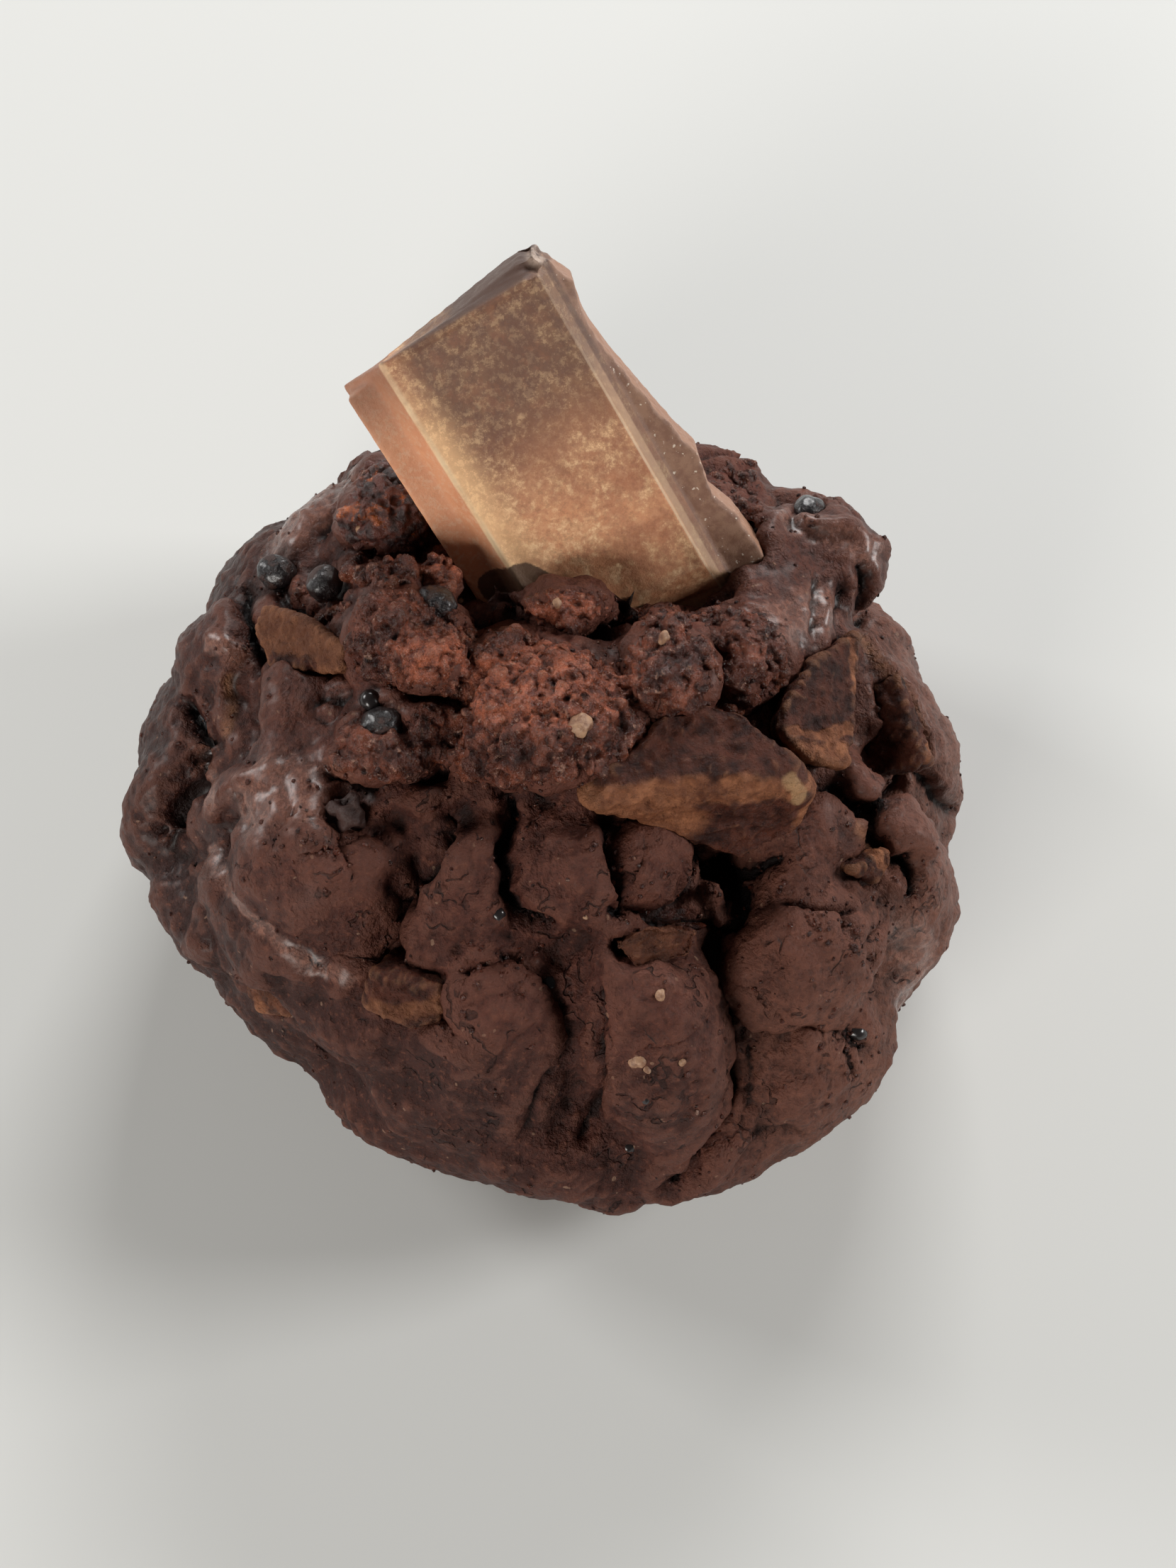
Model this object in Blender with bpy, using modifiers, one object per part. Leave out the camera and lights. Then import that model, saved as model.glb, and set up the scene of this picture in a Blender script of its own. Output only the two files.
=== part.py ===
"""A thick, domed chocolate cookie with pieces of milk chocolate baked into it.

Run with: blender --background --python part.py
Metres, +Z up. The origin is the middle of the flat underside, and the front of the cookie is -Y.
Every size and place below is in millimetres or degrees, and is turned into metres by MM.
A place on the dough is a bearing, which is 0 at the front and 90 at the right, and a climb, which is the
angle up the dome from its widest level.
"""
import math
import random

import bmesh
import bpy
from mathutils import Euler, Matrix, Vector

MM = 0.001

# Driving dimensions of the dome that the lumps of dough lie on
HALF_WIDTH = 44.0
HALF_DEPTH = 42.0
EQUATOR_HEIGHT = 17.0
CROWN_RISE = 33.0
BELLY_DROP = 24.0
CORE_INSET = 2.6
LUMP_SPREAD = 1.17
LUMP_FLATNESS = 0.6
WARP_FADE_CLIMB = 48.0

# Where the cookie's plan bulges or falls short of the dome: bearing, spread, share of the radius
PLAN_BUMPS = (
    (-44, 21, -0.125),
    (66, 24, 0.045),
    (8, 16, 0.045),
    (-128, 22, 0.05),
)

# Finish of the dough solid
VOXEL = 0.9
SMOOTH_STEPS = 2
SMOOTH_SHARE = 0.45
DOUGH_TRIANGLES = 9000
POCKET_GAP = 0.3

# Lumps of dough: bearing, climb, half width, half height, how far they stand proud, turn
LUMPS = {
    "left wall": (-82, 20, 5.5, 14, 1.0, 0),
    "left ridge": (-72, 40, 3.2, 13, 1.8, 12),
    "ridge foot": (-48, 26, 12, 3.4, 0.6, 16),
    "left swirl": (-49, 46, 9.6, 10, 2.4, 0),
    "left shoulder": (-84, 55, 6.4, 5.4, 1.4, 0),
    "left crest": (-64, 50, 5.8, 4.0, 1.6, 0),
    "pearl lump": (-53, 68, 7.0, 5.2, 2.0, 0),
    "upper left": (-134, 40, 7.0, 6.2, 1.0, 0),
    "upper left foot": (-107, 36, 5.4, 7.2, 1.8, 0),
    "amber crumb": (-144, 54, 5.6, 4.8, 2.0, 0),
    "dark crumb": (-111, 71, 6.6, 6.0, 2.8, 0),
    "dark crumb foot": (-79, 76, 5.0, 3.6, 1.6, 0),
    "centre crumb": (8, 77, 9.6, 7.2, 2.6, 0),
    "crumb left of bar": (-62, 84, 4.4, 3.6, 1.6, 0),
    "crumb right of bar": (50, 82, 4.8, 3.6, 1.4, 0),
    "ledge under bar": (150, 83, 4.4, 3.2, 1.6, 0),
    "right crumb": (85, 73, 5.0, 4.8, 1.8, 0),
    "right crumb foot": (96, 63, 4.6, 6.2, 1.4, 0),
    "knuckle": (121, 39, 6.2, 5.2, 7.3, 0),
    "knuckle neck": (124, 49, 6.2, 5.6, 3.6, 0),
    "shoulder": (108, 51, 7.4, 8.2, 2.6, 0),
    "right ridge": (100, 32, 4.6, 9.4, 1.2, 0),
    "right wall": (92, 14, 6.5, 13, 1.8, 0),
    "small bead": (77, 39, 3.0, 3.0, 1.4, 0),
    "large bead": (73, 29, 4.2, 4.0, 1.2, 0),
    "right middle": (58, 44, 5.8, 6.6, 1.0, 0),
    "right cheek": (46, 28, 9.4, 8.8, 2.2, 0),
    "right outer": (67, 14, 7.2, 10.5, 1.8, 0),
    "front right": (37, 6, 11, 8.2, 3.4, -20),
    "front right foot": (40, -3, 10, 7.5, 4.3, -10),
    "front foot": (25, -7, 9, 7.5, 4.0, 0),
    "front tip": (9, -10, 3.6, 3.6, 2.4, 0),
    "front left foot": (-15, -6, 11, 7.0, 0.7, 0),
    "front lobe": (18, 30, 7.4, 11.8, 3.2, -6),
    "front left lobe": (-6, 32, 8.2, 9.6, 2.0, 0),
    "left plate": (-16, 52, 6.4, 7.8, 0.9, 0),
    "right plate": (7, 57, 6.2, 7.8, 0.9, 0),
    "sunken lump": (33, 54, 5.2, 4.6, -1.4, 0),
    "front rim": (3, 5, 9.0, 5.0, 1.8, 0),
    "front left rim": (-13, 13, 7.5, 5.0, 1.0, 0),
    "lower left skirt": (-46, 14, 9.0, 7.0, 0.2, 0),
    "left skirt": (-68, 8, 8.0, 7.0, 0.4, 0),
    "left foot": (-51, -3, 9.0, 7.0, 1.9, 0),
    "left back wall": (-96, 15, 7.5, 9.0, 0.6, 0),
    "right back wall": (112, 17, 7.0, 9.0, 1.5, 0),
    "behind the bar": (151, 30, 9.0, 8.0, 3.3, 0),
    "behind the knuckle": (134, 27, 6.0, 5.6, 4.6, 0),
    "front skirt": (-24, 26, 9.0, 6.4, 0.6, 0),
}

# The unseen back has lumps of its own, spread by a rule
BACK_LUMPS = 17
BACK_BEARINGS = (140, 236)
BACK_CLIMBS = (-8, 68)
BACK_SEED = 11

# Valleys pressed into the dough: waypoints of bearing and climb, width and depth
VALLEYS = {
    "hollow at the left": (((-84, 44), (-76, 30), (-70, 22)), 3.4, 4.2),
    "beside the left swirl": (((-64, 38), (-52, 33), (-36, 38), (-30, 50), (-36, 60)), 2.2, 2.4),
    "between the plates": (((-4, 68), (-4, 56), (-2, 44)), 1.5, 1.6),
    "left of the front lobe": (((6, 46), (8, 34), (8, 20), (10, 8)), 2.0, 2.4),
    "right of the front lobe": (((30, 47), (31, 34), (30, 20), (27, 4)), 2.2, 4.0),
    "dark recess": (((38, 50), (44, 46), (50, 50)), 3.6, 4.6),
    "under the right cheek": (((34, 20), (44, 16), (56, 18)), 1.8, 1.8),
    "beads to wall": (((84, 44), (82, 34), (80, 22)), 1.8, 2.2),
    "below the knuckle": (((112, 36), (118, 32), (128, 30)), 2.4, 3.0),
    "under the centre crumb": (((-34, 72), (-14, 68), (8, 66), (28, 68)), 1.8, 2.0),
    "left of the centre crumb": (((-40, 70), (-46, 78), (-60, 86)), 1.8, 2.4),
    "right of the centre crumb": (((42, 74), (60, 80), (120, 86)), 1.8, 2.4),
    "left of the bar's foot": (((-143, 66), (-138, 75), (-135, 82)), 2.4, 5.0),
    "under the bar's foot": (((-150, 84), (114, 81), (113, 69)), 1.3, 3.0),
}

# The large piece of chocolate bar: a moulded block on a thin broken slab, face towards the front
BAR_FACE_CENTRE = (1.1, 16.3, 56.0)
BAR_TILT = (52.6, -22.7, 19.6)
BAR_FACE = (16.9, 33.4)
BAR_THICKNESS = 7.6
BAR_STEP = 2.2
BAR_BEVEL = 1.6
BAR_TOP_BEVEL = 0.5
BAR_TOP_SLANT = 0.01
BAR_TOP_LEAN = 0.4
BAR_FOOT_BEVEL = 3.6
BAR_SIDE_WALL = 5.6
BAR_EDGE_ROUND = 0.5
# Right-hand broken edge of the slab, from the top down: across and along the bar
BAR_BROKEN_EDGE = (
    (8.9, 18.2), (10.7, 13.8), (9.9, 9.8), (10.4, 5.5), (12.2, -4.0),
    (13.1, -7.0), (12.2, -11.5), (13.4, -14.5), (14.0, -19.6),
)
BAR_SLAB_END = -23.0

# Broken pieces of chocolate: place of the middle of the top face, the bearing and climb that the face
# looks to, its turn, outlines of the top and of the bottom in the plane of the face, and the thickness
CHUNKS = {
    "chunk_front_wedge": (
        (16, -12, 48.6), (20, 70), 0,
        ((-12.5, 0.5), (-2.5, 5.5), (2, 5.5), (5, 3.5), (8.5, -2.5), (2, -3.2), (-5, 0)),
        ((-5, -4.5), (-5, 4), (3, 4), (9.5, -4), (8, -8.5), (1, -9.5)), 5.5),
    "chunk_right_block": (
        (27.8, -2.4, 44.4), (80, 55), 0,
        ((-6, 4.2), (-7.4, 0.6), (-6, -4.2), (-1.5, -4.2), (9.5, -3.4), (3.5, 1.5), (-3.5, 4.4)),
        ((-3, 2), (-4.5, -1), (-4, -4), (7, -3), (3, 1)), 5.0),
    "chunk_right_ridge": (
        (38.2, -0.4, 36.2), (95, 35), 25,
        ((-5, -0.9), (-4.2, 1.1), (1, 1.4), (5, 0.9), (5, -0.6), (0, -1.2)),
        ((-4, -0.9), (-3.5, 0.9), (4, 0.8), (4, -0.6)), 6.0),
    "chunk_left_shard": (
        (-24, 4, 45.4), (-70, 50), 0,
        ((-5.5, -2.5), (-0.5, 2.4), (5.5, 5.5), (7.4, 4.4), (1, -4), (-3.5, -4.2)),
        ((-4.5, -2), (0, 2), (5, 4), (6, 3.4), (1, -3), (-3, -3.2)), 2.6),
    "chunk_low_left": (
        (-12.4, -31.5, 38.4), (-21, 38), 0,
        ((-3.6, 1.5), (0, 2.4), (3.5, 2.5), (4, -1), (1.5, -2.8), (-3.5, -2.4)),
        ((-3, 1.2), (3, 1.6), (3, -1), (-3, -1.8)), 6.0),
    "chunk_far_left": (
        (-27, -26.6, 25.6), (-44, 24), 0,
        ((-3, 1.4), (2.4, 2.4), (2.6, 0.4), (-0.5, -2.4), (-3, -1.5)),
        ((-2.4, 1.2), (2, 1.6), (2, -1), (-2, -1.4)), 5.5),
    "chunk_tip": (
        (32.8, -16.6, 36.6), (63, 38), 0,
        ((-2.4, 2.2), (2.6, -1.2), (1.8, -2), (-0.8, -1.8)),
        ((-2, 1.6), (2, -1), (-0.6, -1.6)), 5.0),
    "chunk_front_top": (
        (11.6, -27.8, 42.6), (20, 52), 0,
        ((-4.5, 1.5), (-0.5, 2.5), (4.6, 0), (3, -2.6), (-3, -2.2)),
        ((-3.6, 1.2), (3.6, 0.4), (2.4, -2), (-2.6, -1.8)), 5.0),
}
CHUNK_EDGE_ROUND = 0.35

# Dark glazed pearls: bearing, climb, radius, how far the middle is above the dome
PEARLS = (
    (-121, 43, 1.9, -0.5),
    (-117, 57, 1.9, 0.2),
    (-116, 76, 2.1, 1.0),
    (-60, 68, 2.1, 0.6),
    (-48, 57, 2.3, 0.0),
    (128, 42, 1.9, 4.3),
)
PEARL_STRETCH = 1.15
PEARL_SEED = 5


def clear_scene():
    for obj in list(bpy.data.objects):
        bpy.data.objects.remove(obj, do_unlink=True)


def collection(name):
    made = bpy.data.collections.new(name)
    bpy.context.scene.collection.children.link(made)
    return made


def material(name, colour, roughness):
    made = bpy.data.materials.new(name)
    made.use_nodes = True
    shader = made.node_tree.nodes["Principled BSDF"]
    shader.inputs["Base Color"].default_value = (*colour, 1.0)
    shader.inputs["Roughness"].default_value = roughness
    shader.inputs["Metallic"].default_value = 0.0
    return made


def plan_share(bearing, climb):
    """How far the dough reaches at this bearing, as a share of the plain dome's radius."""
    fade = max(0.0, 1.0 - max(0.0, climb) / WARP_FADE_CLIMB)
    share = 1.0
    for middle, spread, amount in PLAN_BUMPS:
        off = (bearing - middle + 180.0) % 360.0 - 180.0
        share += amount * fade * math.exp(-(off / spread) ** 2)
    return share


def dome_point(bearing, climb, grow=0.0):
    """A point in millimetres on the dome, grown outwards by grow."""
    across = math.radians(bearing)
    up = math.radians(climb)
    share = plan_share(bearing, climb)
    rise = (CROWN_RISE if climb >= 0 else BELLY_DROP) + grow
    return Vector((
        (HALF_WIDTH * share + grow) * math.cos(up) * math.sin(across),
        -(HALF_DEPTH * share + grow) * math.cos(up) * math.cos(across),
        EQUATOR_HEIGHT + rise * math.sin(up),
    ))


def dome_frame(bearing, climb):
    """Rightwards, upwards and outwards on the dome, as seen by someone who faces it."""
    rise = CROWN_RISE if climb >= 0 else BELLY_DROP
    point = dome_point(bearing, climb)
    out = Vector((
        point.x / HALF_WIDTH ** 2,
        point.y / HALF_DEPTH ** 2,
        (point.z - EQUATOR_HEIGHT) / rise ** 2,
    )).normalized()
    across = math.radians(bearing)
    right = Vector((math.cos(across), math.sin(across), 0.0))
    right = (right - out * right.dot(out)).normalized()
    return right, out.cross(right), out


def look_frame(bearing, climb, turn):
    """The same three directions for a face that looks to a bearing and climb, turned in its plane."""
    across = math.radians(bearing)
    up = math.radians(climb)
    out = Vector((
        math.cos(up) * math.sin(across),
        -math.cos(up) * math.cos(across),
        math.sin(up),
    ))
    right = Vector((math.cos(across), math.sin(across), 0.0))
    right = Matrix.Rotation(math.radians(turn), 3, out) @ right
    return right, out.cross(right), out


def placed(frame, middle):
    """A matrix that carries local millimetres to world metres."""
    turn = Matrix(frame).transposed().to_4x4()
    return Matrix.Translation(middle * MM) @ turn @ Matrix.Scale(MM, 4)


def add_ball(shape, frame, middle, radii, subdivisions):
    stretch = Matrix.Diagonal((*radii, 1.0))
    bmesh.ops.create_icosphere(
        shape, subdivisions=subdivisions, radius=1.0, matrix=placed(frame, middle) @ stretch)


def object_from(shape, name, home):
    mesh = bpy.data.meshes.new(name)
    shape.to_mesh(mesh)
    shape.free()
    made = bpy.data.objects.new(name, mesh)
    home.objects.link(made)
    return made


def add_lump(shape, bearing, climb, half_width, half_height, proud, turn):
    right, up, out = dome_frame(bearing, climb)
    spin = Matrix.Rotation(math.radians(-turn), 3, out)
    half_width *= LUMP_SPREAD
    half_height *= LUMP_SPREAD
    depth = 0.5 * (half_width + half_height) * LUMP_FLATNESS + 1.0
    middle = dome_point(bearing, climb) + out * (proud - depth)
    add_ball(shape, (spin @ right, spin @ up, out), middle, (half_width, half_height, depth), 3)


def add_core(shape):
    """The sunken dome under the lumps, which shows only in the valleys."""
    core = bmesh.new()
    bmesh.ops.create_icosphere(core, subdivisions=5, radius=1.0)
    for vert in core.verts:
        bearing = math.degrees(math.atan2(vert.co.x, -vert.co.y))
        climb = math.degrees(math.asin(max(-1.0, min(1.0, vert.co.z))))
        vert.co = dome_point(bearing, climb, -CORE_INSET) * MM
    scratch = bpy.data.meshes.new("core")
    core.to_mesh(scratch)
    core.free()
    shape.from_mesh(scratch)
    bpy.data.meshes.remove(scratch)


def add_back_lumps(shape):
    """Lumps on the unseen back, one a row up a zigzag, with seeded sizes."""
    draw = random.Random(BACK_SEED)
    golden = 0.618034
    for number in range(BACK_LUMPS):
        along = (number * golden) % 1.0
        rise = (number + 0.5) / BACK_LUMPS
        bearing = BACK_BEARINGS[0] + (BACK_BEARINGS[1] - BACK_BEARINGS[0]) * along
        climb = BACK_CLIMBS[0] + (BACK_CLIMBS[1] - BACK_CLIMBS[0]) * rise ** 1.2
        half_width = draw.uniform(7.0, 12.0)
        half_height = draw.uniform(6.0, 10.0)
        add_lump(shape, bearing, climb, half_width, half_height, draw.uniform(0.4, 2.0), draw.uniform(-40, 40))


def add_belt_lumps(shape):
    """Low lumps under the widest level, all the way round, that curve in to the flat underside."""
    draw = random.Random(BACK_SEED + 1)
    for bearing in range(-180, 180, 20):
        climb = draw.uniform(-22, -12)
        add_lump(shape, bearing + draw.uniform(-5, 5), climb, draw.uniform(9, 12), draw.uniform(8, 10), 0.0, 0)


def use_modifier(obj, kind, **settings):
    """Add a modifier, apply it to the mesh and drop it."""
    modifier = obj.modifiers.new(kind.title(), kind)
    for key, value in settings.items():
        setattr(modifier, key, value)
    graph = bpy.context.evaluated_depsgraph_get()
    mesh = bpy.data.meshes.new_from_object(obj.evaluated_get(graph))
    obj.modifiers.remove(modifier)
    old = obj.data
    obj.data = mesh
    bpy.data.meshes.remove(old)
    mesh.name = obj.name


def distance_to_path(point, path):
    """Distance from a point to a chain of waypoints."""
    best = 1e9
    for start, end in zip(path, path[1:]):
        leg = end - start
        share = max(0.0, min(1.0, (point - start).dot(leg) / leg.length_squared))
        best = min(best, (point - start - leg * share).length)
    return best


def press_valleys(obj):
    """Push the dough in along each valley."""
    for waypoints, width, depth in VALLEYS.values():
        path = [dome_point(*place) for place in waypoints]
        middle = sum(path, Vector()) / len(path)
        reach = max((point - middle).length for point in path) + 3 * width
        for vert in obj.data.vertices:
            spot = vert.co / MM
            if (spot - middle).length > reach:
                continue
            gap = distance_to_path(spot, path) - 1.5
            push = depth * math.exp(-(max(0.0, gap) / width) ** 2)
            inwards = (Vector((0.0, 0.0, EQUATOR_HEIGHT)) - spot).normalized()
            vert.co += inwards * push * MM


def cut_flat_base(obj):
    shape = bmesh.new()
    shape.from_mesh(obj.data)
    everything = shape.verts[:] + shape.edges[:] + shape.faces[:]
    bmesh.ops.bisect_plane(
        shape, geom=everything, plane_co=(0, 0, 0), plane_no=(0, 0, -1), clear_outer=True)
    rim = [edge for edge in shape.edges if edge.is_boundary]
    bmesh.ops.triangle_fill(shape, use_beauty=True, use_dissolve=False, edges=rim, normal=(0, 0, -1))
    bmesh.ops.recalc_face_normals(shape, faces=shape.faces[:])
    shape.to_mesh(obj.data)
    shape.free()


def keep_largest(obj):
    """Drop loose scraps, so that the dough is one body."""
    shape = bmesh.new()
    shape.from_mesh(obj.data)
    left = set(shape.verts)
    bodies = []
    while left:
        body = [left.pop()]
        for vert in body:
            for edge in vert.link_edges:
                other = edge.other_vert(vert)
                if other in left:
                    left.remove(other)
                    body.append(other)
        bodies.append(body)
    bodies.sort(key=len)
    for body in bodies[:-1]:
        bmesh.ops.delete(shape, geom=body, context="VERTS")
    shape.to_mesh(obj.data)
    shape.free()


def make_dough(home, pockets):
    shape = bmesh.new()
    add_core(shape)
    for lump in LUMPS.values():
        add_lump(shape, *lump)
    add_back_lumps(shape)
    add_belt_lumps(shape)
    dough = object_from(shape, "dough", home)
    use_modifier(dough, "REMESH", mode="VOXEL", voxel_size=VOXEL * MM)
    press_valleys(dough)
    use_modifier(dough, "SMOOTH", factor=SMOOTH_SHARE, iterations=SMOOTH_STEPS)
    use_modifier(dough, "TRIANGULATE")
    use_modifier(dough, "DECIMATE", ratio=DOUGH_TRIANGLES / len(dough.data.polygons))
    cut_flat_base(dough)
    use_modifier(
        dough, "BOOLEAN", operation="DIFFERENCE", operand_type="COLLECTION", collection=pockets, solver="EXACT")
    keep_largest(dough)
    dough.data.materials.clear()
    dough.data.materials.append(material("baked chocolate dough", (0.075, 0.033, 0.026), 0.55))
    return dough


def bar_end(across, level, end):
    """Where the block ends along the bar: slanted and leaning in at the top, square at the foot."""
    if end > 0:
        lean = BAR_TOP_LEAN * min(0.0, level + BAR_STEP)
        return BAR_FACE[1] / 2 + BAR_TOP_BEVEL + BAR_TOP_SLANT * across + lean
    return -BAR_FACE[1] / 2 - BAR_FOOT_BEVEL


def bar_block(shape, grow):
    """The raised block of the bar, from its face down to the slab, with its one long outer wall."""
    half_width = BAR_FACE[0] / 2
    wall = -half_width - BAR_SIDE_WALL
    rim = [
        (half_width + BAR_BEVEL, -BAR_STEP),
        (half_width + BAR_BEVEL, -BAR_THICKNESS + 0.5),
        (wall, -BAR_THICKNESS + 1.2),
        (wall + 0.6, -BAR_THICKNESS + 0.5),
    ]
    for end in (-1, 1):
        corners = [(across, end * BAR_FACE[1] / 2, 0.0) for across in (-half_width, half_width)]
        corners += [(across, bar_end(across, level, end), level) for across, level in rim]
        for across, along, level in corners:
            away = (math.copysign(grow, across), math.copysign(grow, along), grow)
            shape.verts.new(Vector((across, along, level)) + Vector(away))
    bmesh.ops.convex_hull(shape, input=shape.verts[:])


def bar_slab(shape, grow):
    """The thin slab under the block, with its broken right-hand edge."""
    left = -BAR_FACE[0] / 2 - BAR_SIDE_WALL + 0.6
    top_edge, foot_edge = BAR_BROKEN_EDGE[0], BAR_BROKEN_EDGE[-1]
    top_left = bar_end(left, -BAR_THICKNESS, 1)
    outline = [(left - grow, top_left + grow), (top_edge[0] + grow, top_edge[1] + grow)]
    outline += [(across + grow, along) for across, along in BAR_BROKEN_EDGE[1:]]
    outline += [(foot_edge[0] - 2.0 + grow, BAR_SLAB_END - grow), (left - grow, BAR_SLAB_END - grow)]
    low = [shape.verts.new((across, along, -BAR_THICKNESS - grow)) for across, along in outline]
    raised = bmesh.ops.extrude_face_region(shape, geom=[shape.faces.new(low)])
    lifted = [item for item in raised["geom"] if isinstance(item, bmesh.types.BMVert)]
    bmesh.ops.translate(shape, verts=lifted, vec=(0, 0, BAR_THICKNESS - BAR_STEP + 2 * grow))


def make_bar(name, home, grow=0.0):
    halves = []
    for build in (bar_block, bar_slab):
        shape = bmesh.new()
        build(shape, grow)
        bmesh.ops.recalc_face_normals(shape, faces=shape.faces[:])
        halves.append(object_from(shape, name, home))
    block, slab = halves
    use_modifier(block, "BOOLEAN", operation="UNION", object=slab, solver="EXACT")
    bpy.data.objects.remove(slab, do_unlink=True)
    if grow == 0.0:
        use_modifier(block, "BEVEL", width=BAR_EDGE_ROUND, segments=1, limit_method="ANGLE",
                     angle_limit=math.radians(28))
    turn = Euler([math.radians(angle) for angle in BAR_TILT], "XYZ").to_matrix().to_4x4()
    block.data.transform(Matrix.Translation(Vector(BAR_FACE_CENTRE) * MM) @ turn @ Matrix.Scale(MM, 4))
    return block


def make_chunk(name, home, grow=0.0):
    middle, (bearing, climb), turn, top, bottom, thickness = CHUNKS[name]
    shape = bmesh.new()
    for outline, level in ((top, 0.0), (bottom, -thickness)):
        for across, up in outline:
            shape.verts.new((across, up, level))
    hull = bmesh.ops.convex_hull(shape, input=shape.verts[:])
    unused = [item for item in hull["geom_interior"] if isinstance(item, bmesh.types.BMVert)]
    bmesh.ops.delete(shape, geom=unused, context="VERTS")
    bmesh.ops.recalc_face_normals(shape, faces=shape.faces[:])
    chunk = object_from(shape, name, home)
    if grow == 0.0:
        use_modifier(chunk, "BEVEL", width=CHUNK_EDGE_ROUND, segments=1, limit_method="ANGLE",
                     angle_limit=math.radians(30))
    else:
        use_modifier(chunk, "DISPLACE", strength=grow * 1.5, mid_level=0.0)
    frame = look_frame(bearing, climb, turn)
    chunk.data.transform(placed(frame, Vector(middle)))
    return chunk


def make_pearl(number, home, grow=0.0):
    bearing, climb, radius, lift = PEARLS[number]
    draw = random.Random(PEARL_SEED + number)
    right, up, out = dome_frame(bearing, climb)
    spin = Matrix.Rotation(draw.uniform(0, math.pi), 3, out)
    middle = dome_point(bearing, climb) + out * lift
    shape = bmesh.new()
    radii = (radius * PEARL_STRETCH + grow, radius + grow, radius + grow)
    add_ball(shape, (spin @ right, spin @ up, out), middle, radii, 2)
    return object_from(shape, f"pearl_{number + 1}", home)


def main():
    clear_scene()
    home = collection("chocolate_cookie")
    pockets = collection("pockets")
    milk = material("milk chocolate bar", (0.30, 0.145, 0.082), 0.42)
    broken = material("broken chocolate", (0.15, 0.060, 0.036), 0.5)
    glaze = material("dark glazed pearl", (0.02, 0.014, 0.014), 0.2)

    make_bar("bar_pocket", pockets, POCKET_GAP)
    for name in CHUNKS:
        make_chunk(name, pockets, POCKET_GAP)
    for number in range(len(PEARLS)):
        make_pearl(number, pockets, POCKET_GAP)
    for cutter in pockets.objects:
        cutter.name = "pocket_" + cutter.name
        cutter.hide_render = True
        cutter.display_type = "WIRE"

    make_dough(home, pockets)
    bar = make_bar("bar_piece", home)
    bar.data.materials.append(milk)
    for name in CHUNKS:
        chunk = make_chunk(name, home)
        chunk.data.materials.append(broken)
    for number in range(len(PEARLS)):
        pearl = make_pearl(number, home)
        pearl.data.shade_smooth()
        pearl.data.materials.append(glaze)


main()
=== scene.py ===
"""The looks of a chocolate chip cookie: glossy and cracked dough, open crumb, broken milk chocolate,
a piece of chocolate bar and dark glazed pearls.

Sizes are in millimetres and degrees. A place in the photograph is a pixel of its 1659 x 2212 frame, and is
carried onto the piece along the camera's line of sight. The front of the cookie is -Y.
"""
import itertools
import math
import random

import bmesh
import bpy
import numpy as np
from mathutils import Euler, Matrix, Vector
from mathutils.bvhtree import BVHTree


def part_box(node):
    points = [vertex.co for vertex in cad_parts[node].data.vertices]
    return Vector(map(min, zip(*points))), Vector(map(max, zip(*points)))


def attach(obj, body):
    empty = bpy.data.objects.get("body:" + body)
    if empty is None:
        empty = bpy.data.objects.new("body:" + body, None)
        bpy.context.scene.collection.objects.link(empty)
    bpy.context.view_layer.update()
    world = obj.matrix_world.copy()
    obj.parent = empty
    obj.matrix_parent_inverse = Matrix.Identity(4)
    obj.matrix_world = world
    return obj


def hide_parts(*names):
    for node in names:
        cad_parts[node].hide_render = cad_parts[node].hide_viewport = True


MM = 0.001

# The photograph's frame and its camera
PHOTO_WIDTH = 1659
PHOTO_HEIGHT = 2212
CAMERA_AIM = Vector((5.0, 2.0, 18.0))
CAMERA_CLIMB = 62.0
CAMERA_REACH = 215.0
CAMERA_FOCAL = 2750.0
SENSOR = 36.0
NEAR_CLIP = 0.005

# Dough
DOUGH_VOXEL = 0.57
DOUGH_SMOOTH_STEPS = 14

# Relief: the amount, the size of the forms and a seed of each layer
DOUGH_LUMPS = ((0.55, 6.5, 1), (0.32, 3.1, 2))
DOUGH_GRAIN = ((0.2, 1.9, 5), (0.16, 1.05, 6))
DOUGH_PUCKERS = ((0.35, 1.8, 20),)
CRUMB_CRAGS = ((1.2, 2.6, 17), (0.6, 1.3, 18))
CRUMB_BILLOWS = ((1.0, 3.6, 6), (0.8, 1.9, 7), (0.5, 0.9, 8))
CREASE_WANDER = ((0.3, 1.6, 10), (0.2, 4.0, 16))
CLUMP_WANDER = ((0.24, 4.5, 90), (0.16, 2.0, 91))
STROKE_WANDER = ((0.5, 2.0, 70), (0.3, 0.9, 71))
BAR_BREAK = ((0.2, 2.2, 12), (0.14, 0.8, 13))
CHUNK_BREAK = ((0.24, 2.8, 20), (0.22, 1.2, 30))
CHUNK_LAYERS = ((-0.5, 1.8, 60),)
CHUNK_PITS = ((0.7, 0.8, 80),)
PEARL_DENTS = ((0.32, 2.6, 40), (0.14, 1.1, 41))
PEARL_COAT = ((1.1, 2.2, 42), (0.5, 1.2, 43))

NO_CRACK = 3.0

# Plain folds: how far they drift and how wide they are, and their depth in front and its rise at the back
FOLD_DRIFT = 2.2
FOLD_WIDTH = 0.075
FOLD_DEPTH = (0.35, 0.75)
BACK_LUMPS = 1.1

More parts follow.
